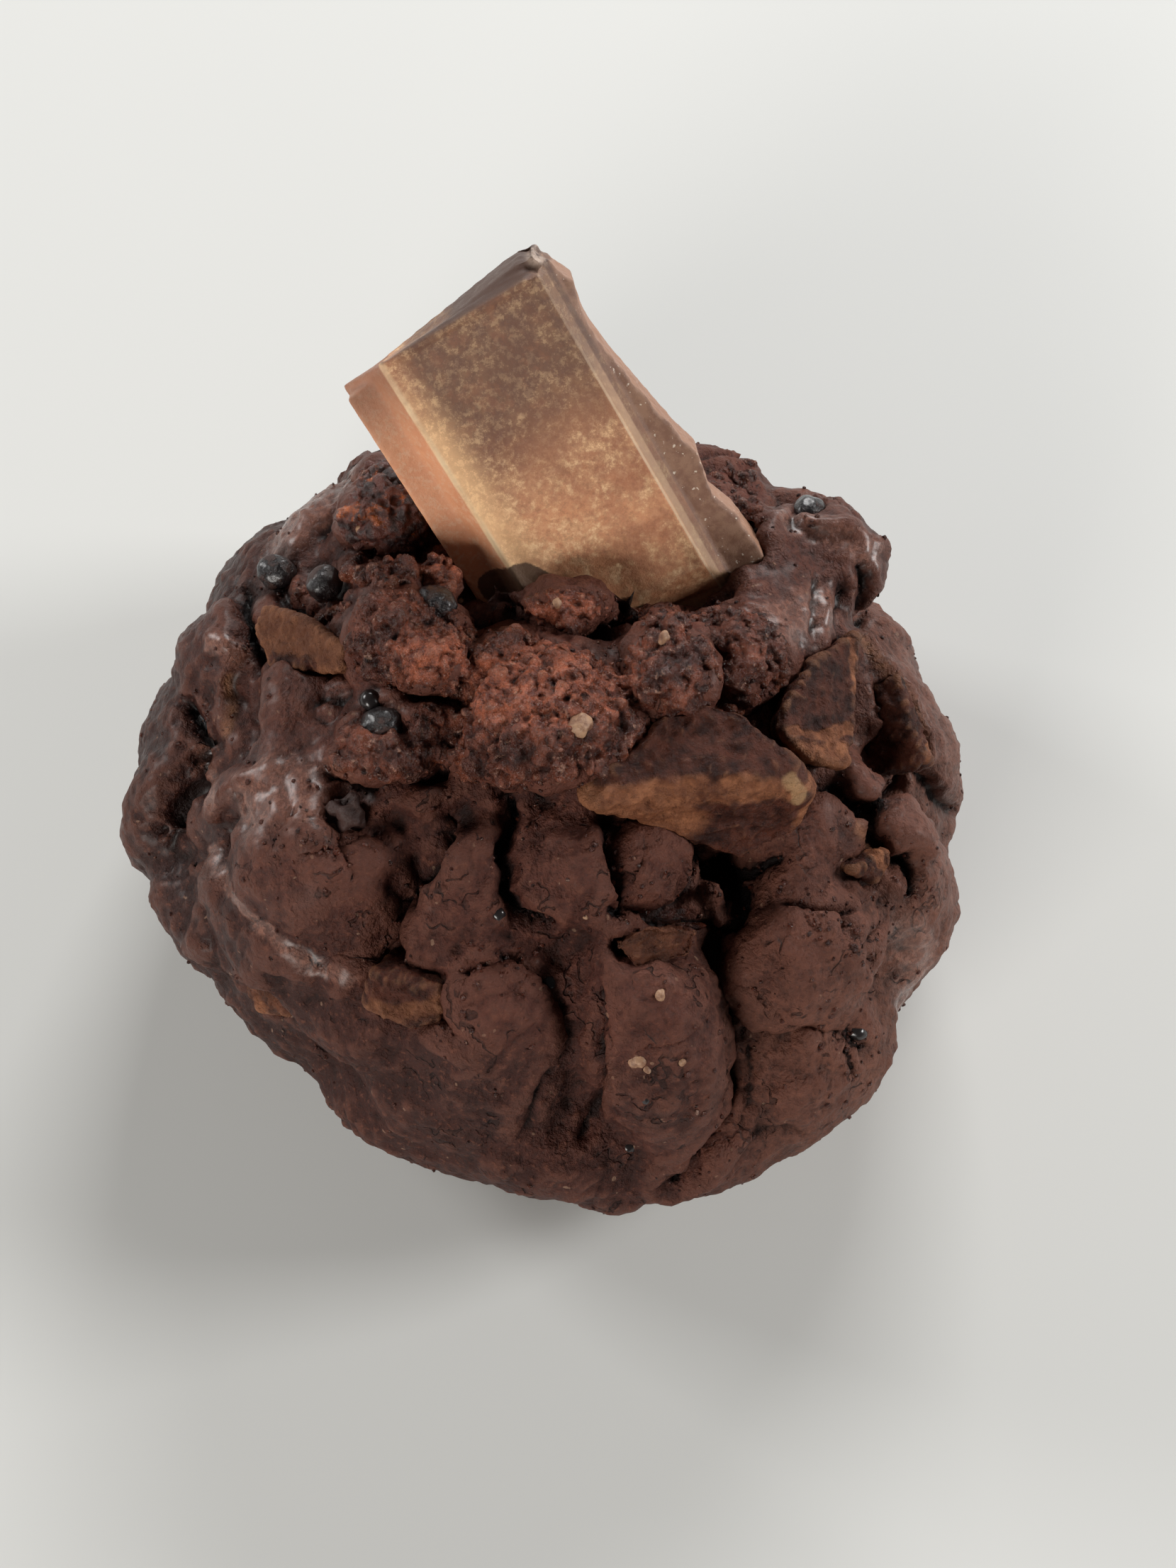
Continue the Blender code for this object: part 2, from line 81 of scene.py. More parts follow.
# Creases in the dough: width, depth, path
CREASES = {
    "swirl to left plate": (1.5, 3.4, ((640, 1158), (633, 1168), (618, 1200), (604, 1224), (586, 1244),
        (574, 1262), (566, 1290), (557, 1318), (550, 1350), (546, 1362))),
    "swirl hole, long": (0.8, 1.5, ((450, 1202), (470, 1206), (490, 1224))),
    "swirl hole": (0.9, 1.8, ((470, 1184), (490, 1200), (522, 1180))),
    "swirl fold": (0.8, 1.1, ((394, 1188), (404, 1172), (418, 1156))),
    "under the pearl lump": (1.0, 2.0, ((466, 1096), (522, 1116), (554, 1106), (602, 1102), (622, 1096))),
    "pearl lump to crumb": (1.0, 2.0, ((594, 980), (622, 988), (646, 1016))),
    "narrow left hollow": (1.2, 1.8, ((270, 1000), (280, 1022), (292, 1046))),
    "left of the shard": (1.2, 2.4, ((346, 840), (350, 900), (372, 936))),
    "between the plates": (0.8, 1.8, ((714, 1112), (726, 1146), (712, 1180), (706, 1208), (714, 1226),
        (712, 1256), (730, 1284), (752, 1296), (772, 1302))),
    "low plate crack": (0.5, 0.8, ((700, 1345), (720, 1355), (740, 1375))),
    "under the centre crumb": (1.2, 1.8, ((690, 1090), (735, 1110), (760, 1120), (800, 1105))),
    "right plate's edge": (0.9, 1.8, ((857, 1155), (862, 1190), (868, 1215), (875, 1250), (885, 1280),
        (895, 1290))),
    "recess": (2.2, 2.8, ((1020, 1225), (1046, 1262), (1040, 1300), (1016, 1318))),
    "under the sunken lump": (0.9, 2.2, ((866, 1285), (900, 1290), (940, 1300), (985, 1302))),
    "wedge's shadow": (1.1, 1.6, ((975, 1200), (1005, 1228), (1050, 1232), (1100, 1210))),
    "right of the front lobe": (0.7, 1.7, ((1028, 1430), (1033, 1460), (1035, 1500), (1033, 1540),
        (1028, 1568), (1018, 1592))),
    "right of the front lobe, foot": (1.3, 3.2, ((1020, 1590), (1005, 1614), (988, 1640), (968, 1664),
        (950, 1676))),
    "beside the low chunk": (1.1, 1.6, ((610, 1425), (625, 1438), (642, 1452))),
    "between wedge and beads": (1.2, 2.4, ((1150, 1105), (1180, 1105), (1200, 1135), (1215, 1150),
        (1225, 1180), (1240, 1200), (1260, 1215), (1285, 1210))),
    "below the large bead": (0.9, 1.8, ((1285, 1210), (1288, 1240), (1285, 1262))),
    "between the beads": (0.8, 1.4, ((1200, 1135), (1230, 1145), (1245, 1130), (1262, 1105), (1270, 1085))),
    "cheek crack": (0.5, 1.0, ((1110, 1280), (1130, 1286), (1150, 1288), (1180, 1286), (1200, 1288))),
    "cheek hole": (0.9, 2.0, ((1183, 1290), (1188, 1315))),
    "cheek crack, low": (0.5, 0.9, ((1205, 1335), (1225, 1318), (1240, 1300))),
    "cheek pit": (0.9, 0.7, ((1216, 1350), (1224, 1354))),
    "beside the nut": (1.3, 0.9, ((1195, 1445), (1197, 1465), (1215, 1480))),
    "short crack": (0.5, 0.9, ((1190, 1480), (1200, 1500), (1203, 1520))),
    "knuckle hole": (1.3, 2.4, ((1112, 712), (1130, 720), (1142, 728))),
    "left of the crumb ball": (1.2, 2.8, ((885, 930), (890, 960), (886, 990))),
    "right of the crumb ball": (1.3, 2.8, ((1010, 930), (1012, 960), (1005, 985), (985, 1003))),
    "under the crumb ball": (1.1, 2.2, ((905, 1003), (935, 1012), (965, 1010), (985, 1003))),
    "under the bar": (1.5, 3.0, ((850, 872), (900, 870), (960, 862), (1000, 845), (1020, 832))),
    "bar's gap": (1.2, 2.4, ((870, 842), (900, 850), (935, 848), (975, 835))),
    "behind the centre crumb": (1.5, 2.6, ((690, 905), (720, 884), (770, 898), (810, 905), (850, 895))),
    "hole left of the centre": (1.4, 2.6, ((640, 850), (665, 880), (662, 912))),
    "left clump to centre": (1.2, 2.2, ((562, 962), (590, 975), (622, 985))),
    "under the amber crumb": (1.7, 2.6, ((500, 775), (540, 785), (590, 775))),
    "between the left pearls": (1.2, 1.8, ((412, 850), (430, 862), (448, 868))),
    "right of the bar, back": (1.3, 1.8, ((1005, 705), (1030, 722), (1062, 745))),
    "under the lobe's top": (0.6, 1.3, ((662, 1370), (672, 1362), (690, 1366))),
}

# Soft valleys, without a black split: width, depth, path
VALLEYS = {
    "left hollow": (3.0, 3.6, ((280, 1060), (276, 1100), (266, 1140), (236, 1184))),
    "top of the front left lobe": (0.8, 1.3, ((660, 1382), (690, 1362), (728, 1356), (770, 1390),
        (786, 1420), (792, 1450))),
    "right of the front left lobe": (1.3, 1.2, ((792, 1470), (780, 1510), (765, 1545), (750, 1590))),
    "beyond the thin ridge": (0.6, 0.9, ((1045, 1438), (1058, 1500), (1056, 1550), (1040, 1590),
        (1012, 1618))),
    "under the cheek": (1.3, 1.1, ((1035, 1425), (1060, 1447), (1100, 1457), (1135, 1450), (1180, 1455))),
    "left of the ledge crumb": (2.0, 2.4, ((700, 846), (722, 854), (742, 862))),
    "dark patch": (1.6, 0.8, ((1100, 1505), (1130, 1515), (1160, 1505))),
    "wall fold": (0.9, 1.3, ((1250, 1000), (1275, 1040), (1290, 1085), (1315, 1120), (1330, 1140),
        (1350, 1145))),
    "shoulder fold, left": (0.8, 0.9, ((1155, 825), (1150, 865), (1148, 900))),
    "shoulder fold, middle": (0.8, 0.9, ((1187, 835), (1180, 870), (1186, 900))),
    "shoulder fold, right": (0.8, 1.0, ((1216, 800), (1218, 850), (1208, 880))),
    "fold under the tip": (0.7, 1.0, ((1218, 1245), (1235, 1238), (1250, 1235), (1262, 1222),
        (1275, 1235))),
    "left of the front lobe": (0.7, 1.3, ((846, 1400), (848, 1440), (846, 1480), (852, 1520), (842, 1560),
        (822, 1600))),
    "right of the front lobe, top": (1.1, 1.8, ((1000, 1300), (1004, 1345), (1012, 1372), (1022, 1402),
        (1028, 1430))),
}

# Raised edges and rolls: width, height, path
RIDGES = {
    "swirl arc": (0.8, 1.0, ((306, 1144), (322, 1116), (350, 1096), (382, 1080))),
    "lit roll": (2.2, 0.9, ((286, 1172), (306, 1224), (330, 1268), (362, 1304), (402, 1336), (450, 1364),
                            (490, 1384))),
    "hollow's rim": (1.1, 1.2, ((290, 1056), (290, 1096), (286, 1136), (270, 1160), (230, 1188))),
    "lit fold": (0.9, 1.3, ((322, 956), (326, 1000), (318, 1032))),
    "left bumps": (1.1, 0.8, ((300, 900), (340, 915), (330, 940), (300, 950))),
    "knuckle lip": (0.9, 0.9, ((1090, 740), (1110, 728), (1150, 740), (1200, 742), (1220, 760), (1245, 770))),
    "right shoulder edge": (0.8, 1.2, ((1215, 900), (1240, 930), (1270, 965), (1290, 1000), (1303, 1040),
                                       (1308, 1065))),
    "tan ridge": (0.8, 1.2, ((1210, 1165), (1225, 1190), (1240, 1215), (1246, 1230))),
}

# Broad swellings: pixel of the middle, half width and half height in pixels, rise
SWELLS = {
    "swirl lobe": ((425, 1275), (125, 100), 1.6),
    "front left lobe": ((705, 1440), (85, 74), 1.0),
    "front lobe": ((945, 1490), (80, 120), 0.8),
    "cheek": ((1135, 1370), (105, 90), 0.8),
    "swirl's top": ((400, 1125), (60, 40), 0.6),
}

# Where the skin shines most, and where a highlight is painted on it as well: width, path
GLOSS = (
    (3.6, ((362, 1134), (385, 1110), (420, 1102), (456, 1120))),
    (0.8, ((300, 1200), (306, 1224), (330, 1268), (362, 1304), (402, 1336), (450, 1364), (490, 1384))),
    (1.0, ((292, 1056), (300, 1096), (296, 1136))),
    (2.6, ((1090, 880), (1130, 870), (1165, 850))),
    (2.2, ((1275, 1310), (1300, 1360), (1270, 1410))),
    (3.4, ((400, 750), (440, 710), (480, 690))),
    (1.6, ((1110, 735), (1170, 750), (1230, 780))),
    (1.4, ((300, 905), (340, 920))),
    (1.2, ((470, 1140), (495, 1150))),
)

# Round lumps: pixel of the middle, radius, rise
KNOBS = {
    "shiny knob": ((480, 1170), 1.8, 1.2),
    "left knob, upper": ((480, 970), 1.5, 0.8),
    "left knob, lower": ((462, 1002), 1.1, 0.7),
    "small bead": ((1230, 1088), 2.7, 1.0),
    "large bead": ((1290, 1162), 4.0, 1.0),
    "sunken lump": ((928, 1218), 4.6, 1.9),
    "pebble": ((1005, 1258), 1.4, 1.1),
    "red knob": ((1020, 1330), 1.0, 0.8),
    "dark knob": ((1137, 1466), 1.2, 0.6),
    "back knob": ((535, 675), 1.7, 1.0),
}

# Open crumb: pixel of a clump's middle, its half width and half height in pixels, its rise
CRUMB_CLUMPS = {
    "under the bar": ((803, 858), (60, 28), 1.2),
    "centre back": ((725, 935), (60, 46), 1.8),
    "centre": ((785, 990), (108, 78), 2.2),
    "centre front": ((755, 1045), (125, 58), 1.9),
    "centre right": ((880, 1045), (44, 40), 1.2),
    "centre left": ((625, 1035), (42, 46), 1.0),
    "ball": ((945, 940), (60, 58), 2.0),
    "right": ((1060, 925), (52, 66), 1.6),
    "left knob": ((628, 805), (28, 36), 1.8),
    "left clump": ((560, 905), (74, 66), 1.5),
    "left clump foot": ((610, 935), (42, 30), 2.0),
    "pearl lump": ((545, 1066), (74, 34), 0.8),
    "behind the amber": ((535, 690), (36, 32), 0.8),
    "between the pearls": ((500, 802), (20, 16), 0.6),
    "flake": ((1074, 1014), (14, 22), 0.5),
    "right of the bar": ((1040, 690), (36, 44), 0.6),
    "between centre and ball": ((885, 985), (34, 46), 0.5),
    "between centre and left": ((650, 940), (34, 60), 0.5),
    "under the bar's right": ((960, 872), (90, 16), 0.4),
    "wedge's back": ((985, 1003), (60, 12), 0.3),
    "left of the centre": ((690, 985), (50, 60), 0.7),
    "over the left clump": ((600, 905), (44, 54), 1.6),
    "round the third pearl": ((560, 860), (30, 30), 0.9),
    "beyond the third pearl": ((628, 880), (22, 26), 0.7),
    "under the amber": ((545, 800), (60, 26), 0.8),
    "left of the fourth pearl": ((505, 1040), (26, 28), 0.7),
    "right of the fourth pearl": ((590, 1030), (24, 30), 0.7),
    "centre's foot": ((720, 1085), (80, 26), 0.5),
    "between the left pearls": ((425, 838), (14, 20), 0.8),
    "round the second pearl": ((462, 858), (26, 16), 0.7),
}

# Where a pool of warm light is painted on the middle of the crumb, and where sugar has soaked it, in the same
# way
RED_CRUMB = (
    ((768, 968), (100, 56), 0),
    ((805, 858), (52, 22), 0),
    ((612, 930), (44, 34), 0),
    ((640, 800), (30, 40), 0),
)
AMBER_CLUMPS = {
    "middle": ((548, 712), (52, 46), 2.6),
    "foot": ((560, 752), (44, 24), 1.6),
    "left": ((508, 738), (26, 30), 1.4),
    "top": ((530, 672), (28, 20), 1.0),
}

# How softly clumps, swellings and the painted pool of warm light on the crumb end, in shares of their half
# width
CLUMP_EDGE = 1.4
SWELL_EDGE = 1.5
RED_EDGE = 1.6

PIXELS_PER_MM = 14.0
CRUMB_DENSITY = 4.2
CRUMB_GRAIN = (0.28, 0.72)
CRUMB_VOXEL = 0.21
CRUMB_SEED = 3

# The large piece of bar, in its own plane: across, along and out of the face. Its front begins between
# two levels out of the face, and the shadow painted on its lower left corner is a path across and along.
BAR_FACE_CENTRE = (1.1, 16.3, 56.0)
BAR_TILT = (52.6, -22.7, 19.6)
BAR_VOXEL = 0.26
BAR_FRONT = (-0.8, -0.3)
BAR_STAIN = ((-11.0, -8.6), (-8.0, -8.6), (-5.6, -12.2), (-3.4, -14.6))

# The broken pieces: their mesh, the length from which their break is roughest, and how far they swell or sink
CHUNK_VOXEL = 0.24
LONG_CHUNK = 18
CHUNK_SWELL = 0.28
SUNKEN_CHUNKS = {"chunk_front_top": -0.7}

# How each broken piece shows: its share of dark dough film, then strokes that bare the chocolate and
# strokes that cover it again, each a width and a path
CHUNKS = {
    "chunk_front_wedge": (
        1.0,
        ((1.5, ((820, 1134), (870, 1130), (930, 1124), (985, 1116))),
         (2.2, ((880, 1150), (925, 1158), (965, 1156))),
         (1.1, ((985, 1120), (1050, 1112), (1110, 1108))),
         (0.8, ((1128, 1104), (1136, 1135), (1124, 1172), (1090, 1190), (1062, 1206)))),
        ()),
    "chunk_right_block": (
        1.0,
        ((1.8, ((1098, 1058), (1145, 1070), (1190, 1072))),
         (0.5, ((1110, 1030), (1150, 1040), (1195, 1030))),
         (0.5, ((1201, 890), (1203, 960), (1202, 1040)))),
        ()),
    "chunk_right_ridge": (
        1.0,
        ((0.6, ((1275, 965), (1292, 1000), (1304, 1035), (1308, 1065))),),
        ()),
    "chunk_left_shard": (0.0, (), ((0.8, ((366, 925), (400, 936), (440, 940))),)),
    "chunk_low_left": (0.9, ((1.0, ((528, 1424), (570, 1430), (614, 1420))),), ()),
    "chunk_far_left": (0.6, ((0.9, ((320, 1418), (350, 1432), (370, 1420))),), ()),
    "chunk_tip": (0.9, ((0.7, ((1212, 1175), (1228, 1198), (1244, 1222))),), ()),
    "chunk_front_top": (0.55, (), ()),
}
# Pieces painted darker all over, as shade
DIM_CHUNKS = ("chunk_left_shard", "chunk_low_left", "chunk_front_top")

# The crest of the front wedge, and its pale tip
WEDGE_RIDGE = ((822, 1130), (880, 1112), (940, 1100), (1010, 1094), (1075, 1098), (1130, 1110))
PALE_TIPS = {"chunk_front_wedge": ((1.0, ((1118, 1098), (1128, 1122))),)}

PEARLS = tuple(f"pearl_{number}" for number in range(1, 7))
PEARL_VOXEL = 0.2
COATED_PEARL = "pearl_5"
SMALL_PEARLS = (((522, 986), 1.05),)

# Bits that sit in the dough: pixel and radius in millimetres
NUT_BITS = (
    ((822, 1027), 1.05), ((900, 1498), 0.75), ((915, 1508), 0.45), ((963, 1500), 0.35), ((932, 1402), 0.6),
    ((940, 900), 0.5), ((508, 748), 0.7), ((648, 850), 0.5), ((786, 850), 0.5), ((826, 1294), 0.3),
)
DARK_BITS = (
    ((1208, 1458), 1.0), ((890, 1622), 0.9), ((912, 1552), 0.7), ((776, 1386), 0.7), ((706, 1292), 0.7),
)
FLAKES = (((945, 1296), (2.3, 0.9, 0.35)), ((965, 1306), (2.2, 0.8, 0.35)), ((955, 1288), (1.6, 0.6, 0.3)))

# The bits by piece: where they are, how deep they are sunk, how ragged they are, and their seed
BITS = {
    "nut_bits": (NUT_BITS, 0.62, 0.34, 51),
    "dark_bits": (DARK_BITS, 0.72, 0.15, 52),
    "small_pearl": (SMALL_PEARLS, 0.2, 0.1, 53),
    "dough_flakes": (FLAKES, 0.0, 0.2, 54),
}

# Loose crumbs: their number and seed, their scatter about the creases in pixels, and their radius
LOOSE_CRUMBS = 1500
LOOSE_SEED = 8
LOOSE_SCATTER = 22
LOOSE_RADIUS = (0.12, 0.34)

FLOOR_HALF = 900.0

# The lights: place, aim, size, power and colour
WINDOW = (1.0, 0.99, 0.98)
LIGHTS = {
    "back window": ((140, 640, 430), (0, 0, 20), (330, 260), 4.3, WINDOW),
    "right window": ((600, 60, 300), (0, 0, 20), (190, 180), 2.9, WINDOW),
    "left window": ((-560, 260, 320), (0, 0, 20), (190, 200), 1.9, WINDOW),
    "front left": ((-330, -560, 260), (0, 10, 40), (300, 240), 3.3, (1.0, 0.96, 0.91)),
}
ROOM_COLOUR = (0.98, 0.99, 1.0, 1.0)
ROOM_STRENGTH = 0.045


def camera_axes():
    """Rightwards, upwards and backwards as the camera looks."""
    climb = math.radians(CAMERA_CLIMB)
    back = Vector((0.0, -math.cos(climb), math.sin(climb)))
    right = Vector((1.0, 0.0, 0.0))
    return right, back.cross(right), back


def sight(pixel):
    """The camera's place and the direction in which it sees a pixel, in millimetres."""
    right, up, back = camera_axes()
    across = (pixel[0] - PHOTO_WIDTH / 2) / CAMERA_FOCAL
    rise = (PHOTO_HEIGHT / 2 - pixel[1]) / CAMERA_FOCAL
    return CAMERA_AIM + back * CAMERA_REACH, (right * across + up * rise - back).normalized()


def grain(points, size, seed):
    """Smooth noise from about -1 to 1 over points in millimetres, with forms of that size."""
    spot = points / size + seed * 7.31
    low = np.floor(spot).astype(np.int64)
    part = spot - low
    fade = part ** 3 * (part * (part * 6 - 15) + 10)
    total = np.zeros(len(points))
    for corner in itertools.product((0, 1), repeat=3):
        cell = low + np.array(corner)
        mixed = (cell[:, 0] * 73856093) ^ (cell[:, 1] * 19349663) ^ (cell[:, 2] * 83492791)
        mixed = ((mixed ^ (mixed >> 13)) * 1274126177) & 0x7FFFFFFF
        mixed ^= mixed >> 15
        turn = (mixed & 1023) * (2 * math.pi / 1023)
        height = ((mixed >> 10) & 1023) / 511.5 - 1
        flat = np.sqrt(np.maximum(0, 1 - height ** 2))
        slope = np.stack((flat * np.cos(turn), flat * np.sin(turn), height), axis=1)
        share = np.prod(np.where(np.array(corner), fade, 1 - fade), axis=1)
        total += share * np.sum(slope * (part - np.array(corner)), axis=1)
    return total * 1.6


def bell(gap, width):
    """1 at no distance, and less further off, over that width."""
    return np.exp(-(gap / width) ** 2)


def ramp(values, low, high):
    """0 below low, 1 above high, and a smooth rise between them."""
    part = np.clip((values - low) / (high - low), 0, 1)
    return part * part * (3 - 2 * part)


def distance_to_path(points, path):
    """How far each point is from a chain of straight stretches."""
    nearest = np.full(len(points), np.inf)
    for start, end in zip(path[:-1], path[1:]):
        along = end - start
        share = np.clip((points - start) @ along / max(along @ along, 1e-9), 0, 1)
        gap = np.linalg.norm(points - start - share[:, None] * along, axis=1)
        nearest = np.minimum(nearest, gap)
    return nearest


class Clay:
    """A piece that is being shaped: its points in millimetres and the values painted on them."""

    def __init__(self, piece):
        self.piece = piece
        mesh = piece.data
        flat = np.empty(len(mesh.vertices) * 3, np.float32)
        mesh.vertices.foreach_get("co", flat)
        self.points = flat.reshape(-1, 3).astype(float) / MM
        ends = np.empty(len(mesh.edges) * 2, np.int32)
        mesh.edges.foreach_get("vertices", ends)
        self.ends = ends.reshape(-1, 2)
        self.links = np.maximum(np.bincount(ends, minlength=len(self.points)), 1)
        self.refresh()

    def refresh(self):
        """Writes the points to the mesh, and reads the outward directions and the surface afresh."""
        mesh = self.piece.data
        mesh.vertices.foreach_set("co", (self.points * MM).astype(np.float32).ravel())
        mesh.update()
        flat = np.empty(len(self.points) * 3, np.float32)
        mesh.vertex_normals.foreach_get("vector", flat)
        self.out = flat.reshape(-1, 3).astype(float)
        corners = [list(face.vertices) for face in mesh.polygons]
        self.surface = BVHTree.FromPolygons([Vector(point) for point in self.points], corners)

    def averaged(self, values, steps):
        """The values after each is drawn to its neighbours' mean a number of times."""
        first, second = self.ends[:, 0], self.ends[:, 1]
        count = len(self.points)
        result = values.reshape(count, -1).copy()
        for _ in range(steps):
            for column in range(result.shape[1]):
                line = result[:, column]
                total = np.bincount(first, line[second], count) + np.bincount(second, line[first], count)
                result[:, column] = 0.5 * line + 0.5 * total / self.links
        return result.reshape(values.shape)

    def soften(self, steps):
        self.points = self.averaged(self.points, steps)
        self.refresh()

    def push(self, amounts):
        """Moves the points outwards by an amount each."""
        self.points += self.out * amounts[:, None]
        self.refresh()

    def seen(self, pixel):
        """Where the camera sees this piece at a pixel, and the outward direction there, or None."""
        origin, direction = sight(pixel)
        place, out, _, _ = self.surface.ray_cast(origin, direction)
        return None if place is None else (place, out)

    def path(self, pixels):
        """The path of pixels laid on the piece, with a point about every half millimetre."""
        found = []
        for start, end in zip(pixels[:-1], pixels[1:]):
            steps = max(1, int(math.dist(start, end) / 7))
            for step in range(steps):
                share = step / steps
                found.append(self.seen((start[0] + share * (end[0] - start[0]),
                                        start[1] + share * (end[1] - start[1]))))
        found.append(self.seen(pixels[-1]))
        return [np.array(hit[0]) for hit in found if hit is not None]

    def gap_to(self, pixels, reach):
        """Distance to a path of pixels, worked out only for the points within reach of it."""
        path = self.path(pixels)
        gap = np.full(len(self.points), 1e3)
        if not path:
            return gap
        low = np.min(path, axis=0) - reach
        high = np.max(path, axis=0) + reach
        near = np.all((self.points > low) & (self.points < high), axis=1)
        if len(path) == 1:
            path = path * 2
        gap[near] = distance_to_path(self.points[near], path)
        return gap

    def grain(self, size, seed):
        """Noise at the points, with forms of that size."""
        return grain(self.points, size, seed)

    def grains(self, layers, shift=0):
        """Layers of noise together, each an amount, a size and a seed."""
        return sum(amount * self.grain(size, seed + shift) for amount, size, seed in layers)

    def billows(self, layers, shift=0, stretch=(1, 1, 1)):
        """Layers of rounded bumps with sharp creases between them, squeezed along each axis."""
        points = self.points * stretch
        return sum(rise * (np.abs(grain(points, size, seed + shift)) - 0.25) for rise, size, seed in layers)

    def hollows(self, steps):
        """How far each point lies below its surroundings, in millimetres."""
        drawn = self.averaged(self.points, steps)
        return np.sum((drawn - self.points) * self.out, axis=1)

    def paint(self, **layers):
        """Stores values for each point, which the material reads by their names."""
        for name, values in layers.items():
            layer = self.piece.data.attributes.new(name, "FLOAT", "POINT")
            layer.data.foreach_set("value", values.astype(np.float32))


def piece_from(name, mesh):
    made = bpy.data.objects.new(name, mesh)
    bpy.context.scene.collection.objects.link(made)
    return made


def remeshed(piece, voxel):
    """Gives the piece a fine even mesh."""
    change = piece.modifiers.new("remesh", "REMESH")
    change.mode = "VOXEL"
    change.voxel_size = voxel * MM
    shaped = piece.evaluated_get(bpy.context.evaluated_depsgraph_get())
    old = piece.data
    piece.data = bpy.data.meshes.new_from_object(shaped)
    piece.modifiers.clear()
    bpy.data.meshes.remove(old)
    piece.data.materials.clear()
    return piece


def copy_of_nodes(name, nodes, to_local=None):
    """A new piece with the shapes of these CAD nodes, welded."""
    shape = bmesh.new()
    for node in nodes:
        shape.from_mesh(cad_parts[node].data)
    bmesh.ops.remove_doubles(shape, verts=shape.verts[:], dist=1e-6)
    if to_local is not None:
        shape.transform(to_local)
    mesh = bpy.data.meshes.new(name)
    shape.to_mesh(mesh)
    shape.free()
    return piece_from(name, mesh)


def unit_ball(subdivisions):
    """The corners and faces of a ball of radius 1."""
    shape = bmesh.new()
    bmesh.ops.create_icosphere(shape, subdivisions=subdivisions, radius=1.0)
    corners = np.array([corner.co for corner in shape.verts])
    faces = np.array([[corner.index for corner in face.verts] for face in shape.faces])
    shape.free()
    return corners, faces


def joined_copies(name, form, placements):
    """One piece with a copy of a form at each placement: a 3 x 3 turn and stretch, and a middle."""
    corners, faces = form
    points = [corners @ turn.T + middle for turn, middle in placements]
    sides = [faces + index * len(corners) for index in range(len(placements))]
    mesh = bpy.data.meshes.new(name)
    mesh.from_pydata((np.concatenate(points) * MM).tolist(), [], np.concatenate(sides).tolist())
    return piece_from(name, mesh)


def random_turn(draw):
    """A turn to a random direction, as a 3 x 3 array."""
    angles = [draw.uniform(0, 2 * math.pi) for _ in range(3)]
    return np.array(Euler(angles).to_matrix())


def finish_piece(piece, finish, nodes=()):
    """Gives the piece its material, smooth shading and its place in the frame."""
    piece.data.materials.append(finish)
    piece.data.polygons.foreach_set("use_smooth", [True] * len(piece.data.polygons))
    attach(piece, "root")
    if nodes:
        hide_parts(*nodes)


class Value:
    """A socket that Python's operators work on: each operation adds its Math node."""

    def __init__(self, finish, socket):
        self.finish = finish
        self.socket = socket

    def apply(self, operation, *values):
        return self.finish.node("ShaderNodeMath", {"operation": operation}, dict(enumerate(values)))

    def __add__(self, other):
        return self.apply("ADD", self, other)

    __radd__ = __add__

    def __sub__(self, other):
        return self.apply("SUBTRACT", self, other)

    def __rsub__(self, other):
        return self.apply("SUBTRACT", other, self)

    def __mul__(self, other):
        return self.apply("MULTIPLY", self, other)

    __rmul__ = __mul__

    def __abs__(self):
        return self.apply("ABSOLUTE", self)

    def between(self, low, high):
        """0 below low, 1 above high, and a smooth rise between them."""
        return self.finish.node("ShaderNodeMapRange", {"interpolation_type": "SMOOTHSTEP"},
                                {0: self, 1: low, 2: high})


